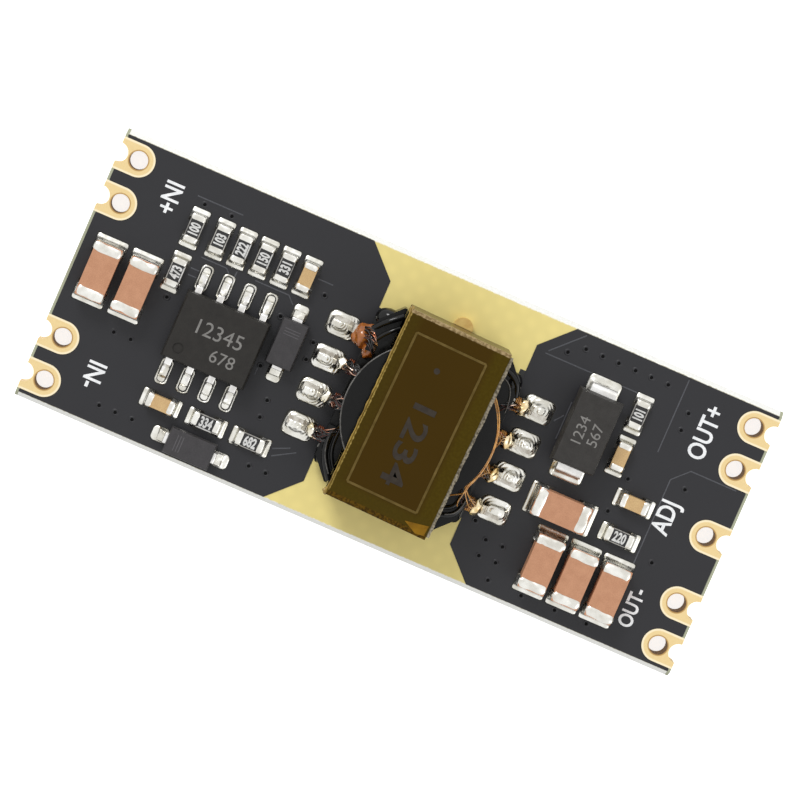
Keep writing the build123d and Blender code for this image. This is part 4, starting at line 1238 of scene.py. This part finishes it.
class MODULE_OT_core(bpy.types.Operator):
    """Finishes the ferrite core and winds its film tape"""

    bl_idname = "module.core"
    bl_label = "Core and tape"

    def execute(self, context):
        dress(["upper_core", "lower_core"], finish("sintered_ferrite"))
        tape = film_material(hex_text(context.scene.module_transformer.tape_colour))
        make_piece("core_film", [self.film()], tape, ["core_tape"])
        # the film's free left edge, folded a little way down
        make_piece(
            "film_free_edge", [self.free_edge()] + self.corner_tabs(), finish("single_film"),
        )
        # on the right the tape is a little wider than the core
        make_piece("film_overhang", [self.overhang()], finish("dusty_film"))
        # a second layer's cut edges, pressed through the film as a pale rectangle
        make_piece("film_layer_edge", self.layer_edge(), finish("pressed_film_edge"))
        # painted highlight: a golden patch on the film near the core's lower right corner
        make_piece("film_highlight_patch", [self.highlight_patch()], finish("golden_highlight_film"))
        # plain figures and a dot printed under the film
        turn = TRANSFORMER_TURN - math.pi / 2
        words = lettering(
            "1234", 1.3, spot_on_transformer(-0.05, -1.3), turn, FILM_TOP - 0.003, 0.006, 0.03,
            1.45,
        )
        spot = spot_on_transformer(-0.35, 3.0)
        dot = mound(
            circle(0.17, 20), lambda x, y, share: 0.008 * (1 - share ** 4), FILM_TOP - 0.008, spot,
            rings=4,
        )
        make_piece("film_figures", [words, dot], finish("print_under_film"))
        return {"FINISHED"}

    def free_edge(self):
        """A thin strip carried along the film's left edge, wandering by seeded ripples."""
        v = np.linspace(-5.42, 5.42, 160)
        both = np.column_stack([v, v])
        drift = ripple(both, 0.9, 21)
        path = on_transformer(np.column_stack([-2.93 + 0.012 * drift, v, 6.9 + 0.02 * drift]))
        return carried(fine_outline(0.055, 0.2, 0.02, 16), path, 1 + 0.3 * ripple(both, 1.1, 8))

    def overhang(self):
        """A flat strip beside the film's right edge, carried along it, its width wandering by
        seeded ripples."""
        v = np.linspace(-5.3, 5.36, 160)
        path = on_transformer(np.column_stack([np.full_like(v, 2.99), v, np.full_like(v, 6.97)]))
        both = np.column_stack([v, v])
        width = 0.78 + 0.25 * ripple(both, 1.4, 5) + 0.12 * ripple(both, 0.3, 6)
        return carried(rounded_rectangle(0.3, 0.03, 0.01, 3), path, width)

    def corner_tabs(self):
        """Small crumpled film ends at the two left corners: stretched balls pushed in and out by
        ripples."""
        return [
            lump((-2.98, 5.42, 6.86), (0.13, 0.2, 0.12), 0.3, 0.9, 3),
            lump((-3.02, -5.33, 6.84), (0.16, 0.2, 0.12), 0.3, 0.9, 9),
        ]

    def layer_edge(self):
        """Four flat strips round a rectangle, 0.13 mm wide, pressed up through the film."""
        left, right, low, high = -2.2, 1.9, -4.36, 4.44
        across = TRANSFORMER_TURN + math.pi / 2
        strips = [(u, (low + high) / 2, across, high - low, 0.044) for u in (left, right)]
        strips += [
            ((left + right) / 2, v, TRANSFORMER_TURN, right - left, 0.0435) for v in (low, high)
        ]
        return [
            bar(spot_on_transformer(u, v), turn, length, 0.13, FILM_TOP - 0.04, height)
            for u, v, turn, length, height in strips
        ]

    def highlight_patch(self):
        """A low three-cornered mound on the film near the core's lower right corner, coloured as a
        painted highlight.
        """
        corners = np.array([(1.5, -4.98), (2.82, -4.72), (2.78, -5.3), (2.3, -5.38)])
        middle = corners.mean(axis=0)
        closed = np.vstack([corners, corners[:1]]) - middle
        even = np.linspace(0, 4, 40, endpoint=False)
        outline = np.column_stack([np.interp(even, np.arange(5), closed[:, i]) for i in (0, 1)])
        spot = spot_on_transformer(*middle)
        return mound(
            outline, lambda x, y, share: 0.014 * (1 - share ** 2), FILM_TOP - 0.012, spot,
            TRANSFORMER_TURN, rings=8,
        )

    def film(self):
        """Tape round the core: a thin wide section carried round a rounded rectangle in the length
        and height plane, its outer face dented by seeded ripples."""
        loop = fine_outline(
            2 * CORE_HALF_LENGTH + 0.06, CORE_TOP - CORE_BOTTOM + 0.06, 0.06, 220, corners=True,
        )
        middle = (CORE_TOP + CORE_BOTTOM) / 2
        along = np.roll(loop, -1, axis=0) - np.roll(loop, 1, axis=0)
        along /= np.linalg.norm(along, axis=1, keepdims=True)
        out = np.column_stack([along[:, 1], -along[:, 0]])
        across = np.linspace(-1, 1, 36)
        outer = np.column_stack([across * (CORE_HALF_WIDTH + 0.02), np.full(36, 0.03)])
        inner = np.column_stack([across[::-1] * (CORE_HALF_WIDTH + 0.02), np.full(36, -0.025)])
        section = np.concatenate([outer, inner])
        points = np.empty((len(loop), len(section), 3))
        points[..., 0] = section[None, :, 0]
        flat = np.dstack([np.broadcast_to(loop[:, None, 0], points.shape[:2]), points[..., 0]])
        dent = 0.012 * (ripple(flat, 2.6, 4) - 1.5) * (section[None, :, 1] > 0)
        depth = section[None, :, 1] + dent
        points[..., 1] = loop[:, None, 0] + out[:, None, 0] * depth
        points[..., 2] = loop[:, None, 1] + out[:, None, 1] * depth + middle
        faces = grid_faces(len(loop), len(section), wrap_rows=True)
        return on_transformer(points).reshape(-1, 3), faces


class MODULE_OT_bobbin(bpy.types.Operator):
    """Finishes the bobbin, its pins and its windings"""

    bl_idname = "module.bobbin"
    bl_label = "Bobbin and windings"

    def execute(self, context):
        dress(["transformer_bobbin"], finish("phenolic"))
        dress(["transformer_pins"], finish("tinned_pins"))
        # black sleeving and varnished leads in the bobbin's corners, and rims painted grey as
        # highlights
        make_piece(
            "corner_sleeves", self.sleeves() + self.knobs(), finish("black_sleeving"),
        )
        make_piece("rim_highlights", self.rims(), finish("phenolic_rim_highlight"))
        dress(["primary_winding", "secondary_winding"], finish("wound_enamel"))
        dress(["barrier_tape", "winding_tape"], finish("yellow_film"))
        return {"FINISHED"}

    def knobs(self):
        """Varnish-covered ends of the rails: stretched balls with faint ripples, each as place,
        size and seed."""
        ends = (
            ((3.82, 3.98, 2.85), (0.56, 0.6, 0.7), 4), ((-3.6, 4.25, 2.8), (0.85, 0.62, 0.7), 6),
            ((-4.0, -3.7, 2.7), (0.34, 0.8, 0.8), 9), ((3.9, -3.9, 2.7), (0.5, 0.5, 0.7), 12),
        )
        return [lump(spot, size, 0.07, 1.6, seed) for spot, size, seed in ends]

    def sleeves(self):
        """Round black leads carried along splines that curl round the bobbin's corners, each as
        radius and points."""
        routes = (
            (
                0.19,
                [
                    (-3.95, -2.5, 3.45), (-3.95, -3.4, 3.6), (-3.72, -4.05, 3.65),
                    (-3.25, -4.68, 3.6), (-3.0, -5.0, 3.5),
                ],
            ),
            (
                0.11,
                [(-3.6, -2.3, 3.4), (-3.62, -3.2, 3.62), (-3.42, -3.8, 3.68), (-3.05, -4.3, 3.6)],
            ),
            (
                0.17,
                [(-4.3, 3.45, 3.3), (-3.95, 3.95, 3.55), (-3.5, 4.35, 3.62), (-3.05, 4.75, 3.5)],
            ),
            (0.12, [(-3.9, 3.0, 3.5), (-3.6, 3.5, 3.7), (-3.2, 3.9, 3.7), (-3.0, 4.1, 3.6)]),
            (0.15, [(3.2, -4.2, 3.5), (3.9, -3.95, 3.58), (4.2, -3.45, 3.58), (4.25, -2.7, 3.4)]),
            (0.12, [(3.1, -3.8, 3.55), (3.65, -3.6, 3.66), (3.9, -3.2, 3.66), (3.95, -2.6, 3.5)]),
            (0.16, [(3.1, 4.5, 3.5), (3.7, 4.35, 3.56), (4.15, 4.0, 3.52), (4.3, 3.4, 3.3)]),
        )
        return [wire(points, radius, 12, 8) for radius, points in routes]

    def rims(self):
        """The rims that catch the light, painted grey as highlights: thin rounds along the flange's
        edge and the rails, each as radius and points."""
        angle = np.radians(np.linspace(128, 232, 40))
        left = np.column_stack(
            [4.2 * np.cos(angle), 4.2 * np.sin(angle), np.full(40, FLANGE_TOP - 0.01)]
        )
        routes = (
            (
                0.035,
                [
                    (3.0, 3.92, 4.1), (3.2, 4.12, 4.1), (3.7, 3.87, 4.0), (4.01, 3.27, 3.9),
                    (4.11, 2.35, 3.7),
                ],
            ),
            (0.03, [(4.33, -3.9, 3.4), (4.3, -3.3, 3.45), (4.26, -2.65, 3.4)]),
            (
                0.04,
                [(3.5, -4.02, 3.72), (3.95, -3.8, 3.76), (4.16, -3.4, 3.76), (4.22, -2.9, 3.68)],
            ),
            (
                0.04,
                [(-3.98, -2.9, 3.72), (-3.9, -3.55, 3.8), (-3.6, -4.15, 3.84), (-3.15, -4.7, 3.78)],
            ),
        )
        edge = carried(circle(0.045, 8), on_transformer(left))
        return [edge] + [wire(points, radius, 8, 8) for radius, points in routes]


class MODULE_OT_wires(bpy.types.Operator):
    """Makes the lead wires on the pins and along the flange, the varnish and the glue"""

    bl_idname = "module.wires"
    bl_label = "Lead wires"

    def execute(self, context):
        settings = context.scene.module_transformer
        radius = settings.wire_radius / MM
        wraps = [self.wrap(-1, row, settings.wrap_turns, 0.5 * radius) for row in PIN_ROWS]
        make_piece(
            "pin_wraps", wraps, finish("enamelled_wire"), ["lead_wire_wraps"],
        )
        golden = finish("golden_enamelled_wire")
        make_piece(
            "flange_lead_wire", self.flange_leads(0.4 * radius), golden,
            ["secondary_lead_wire"],
        )
        wraps = [self.wrap(1, row, settings.wrap_turns, 0.5 * radius) for row in PIN_ROWS]
        make_piece("right_pin_wraps", wraps, golden)
        make_piece(
            "pin_wire_ends", self.loose_ends(0.4 * radius, 12, 4, 2), finish("dark_enamelled_wire"),
        )
        make_piece(
            "black_wire_ends", self.loose_ends(0.45 * radius, 31, 9, 2),
            finish("black_enamelled_wire"),
        )
        make_piece(
            "scraped_wire_ends", self.loose_ends(0.28 * radius, 47, 4, 1),
            finish("scraped_copper_wire"),
        )
        drops = [
            lump((-4.6, 2.85, 2.78), (0.58, 0.72, 0.5), 0.24, 1.2, 8),
            lump((-4.05, 2.3, 2.95), (0.36, 0.5, 0.4), 0.25, 1.1, 5),
        ]
        make_piece("varnish_lump", drops, finish("dried_varnish"), ["pin_varnish_bead"])
        tips = [
            lump((4.93, row, 2.62), (0.37, 0.5, 0.44), 0.2, 1.0, 30 + i)
            for i, row in enumerate(PIN_ROWS)
        ]
        make_piece("rosin_pin_tips", tips, finish("rosin_coated_solder"))
        tips = [
            lump((-4.97, row, 2.6), (0.3, 0.4, 0.42), 0.2, 1.0, 60 + i)
            for i, row in enumerate(PIN_ROWS[:3])
        ]
        make_piece("bright_pin_tips", tips, finish("dipped_solder"))
        dress(["core_glue_bead"], finish("amber_glue"))
        return {"FINISHED"}

    def flange_leads(self, radius):
        """Two fine wires side by side along the upper flange's rim, which part at the last right
        pin, and short ones that leave them for the other pins."""
        wires = []
        tails = (
            [(4.0, -2.35, 5.3), (4.5, -2.75, 4.3), (4.85, -2.95, 3.3)],
            [(3.85, -2.5, 5.5), (3.75, -3.0, 4.9), (3.9, -3.3, 4.0)],
            [(3.95, -2.4, 5.4), (3.5, -2.7, 5.0), (3.2, -3.0, 4.2)],
        )
        angle = np.radians(np.linspace(46, -28, 16))
        for strand, tail in enumerate(tails):
            reach = 4.29 + 0.05 * (strand - 1) + 0.025 * np.sin(5 * angle + 2.3 * strand)
            rim = np.column_stack(
                [
                    reach * np.cos(angle), reach * np.sin(angle),
                    5.84 + 0.05 * np.cos(3 * angle + 2 * strand),
                ]
            )
            wires.append(wire(np.vstack([rim, tail]), radius))
        for start, row in ((24, 1.0), (8, 1.0), (-4, -1.0), (-16, -1.0), (-27, -3.0)):
            a = math.radians(start)
            points = [
                (4.2 * math.cos(a), 4.2 * math.sin(a), 5.85),
                (4.34 * math.cos(a - 0.06), 4.34 * math.sin(a - 0.06), 5.7),
                (4.55, row + 0.25 * math.sin(start), 4.3), (4.8, row, 3.1),
            ]
            wires.append(wire(points, 0.8 * radius))
        return wires

    def loose_ends(self, radius, seed, left, right):
        """Short fine wires from the windings to the pins: splines through seeded points between
        rail and pin."""
        random = np.random.default_rng(seed)
        wires = []
        for side, count in ((-1, left), (1, right)):
            for row in PIN_ROWS:
                for _ in range(count):
                    jump = random.uniform(-1, 1, 8)
                    points = [
                        (side * 3.7, row * 0.8 + 0.3 * jump[0], 3.55),
                        (side * (4.15 + 0.1 * jump[1]), row + 0.45 * jump[2], 3.6 + 0.15 * jump[3]),
                        (side * (4.5 + 0.1 * jump[4]), row + 0.5 * jump[5], 3.3 + 0.25 * jump[6]),
                        (side * 4.85, row + 0.3 * jump[7], 2.85),
                    ]
                    wires.append(wire(points, radius, 6, 5))
        return wires

    def wrap(self, side, row, turns, radius):
        """Wire on a pin: a helix round it, its angle running with its distance from the rail."""
        t = np.linspace(0, 2 * math.pi * turns, 16 * turns)
        reach = 0.34 + radius
        x = side * (RAIL_OUTER + 0.06 + radius + t / (2 * math.pi) * 2.1 * radius)
        path = np.column_stack(
            [
                x, row * np.ones_like(t) + reach * np.cos(t + row),
                PIN_LEVEL + reach * np.sin(t + row),
            ]
        )
        return carried(circle(radius, 8), on_transformer(path))


class MODULE_PT_panel(bpy.types.Panel):
    """Lists the module's pieces"""

    bl_label = "Converter module"
    bl_idname = "MODULE_PT_panel"
    bl_space_type = "VIEW_3D"
    bl_region_type = "UI"
    bl_category = "Module"

    def draw(self, context):
        for operator in OPERATORS:
            self.layout.operator(operator.bl_idname)


SETTINGS = {
    "module_stage": StageSettings, "module_board": BoardSettings, "module_chips": ChipSettings,
    "module_transformer": TransformerSettings,
}
OPERATORS = (
    MODULE_OT_stage, MODULE_OT_board, MODULE_OT_labels, MODULE_OT_chips, MODULE_OT_solder,
    MODULE_OT_packages, MODULE_OT_core, MODULE_OT_bobbin, MODULE_OT_wires,
)


def register():
    for item in (*SETTINGS.values(), *OPERATORS, MODULE_PT_panel):
        bpy.utils.register_class(item)
    for name, group in SETTINGS.items():
        setattr(bpy.types.Scene, name, PointerProperty(type=group))


def unregister():
    for name in SETTINGS:
        delattr(bpy.types.Scene, name)
    for item in (MODULE_PT_panel, *OPERATORS[::-1], *SETTINGS.values()):
        bpy.utils.unregister_class(item)


def main():
    register()
    bpy.ops.module.stage()
    bpy.ops.module.board()
    bpy.ops.module.labels()
    bpy.ops.module.chips()
    bpy.ops.module.solder()
    bpy.ops.module.packages()
    bpy.ops.module.core()
    bpy.ops.module.bobbin()
    bpy.ops.module.wires()


if __name__ == "__main__":
    main()
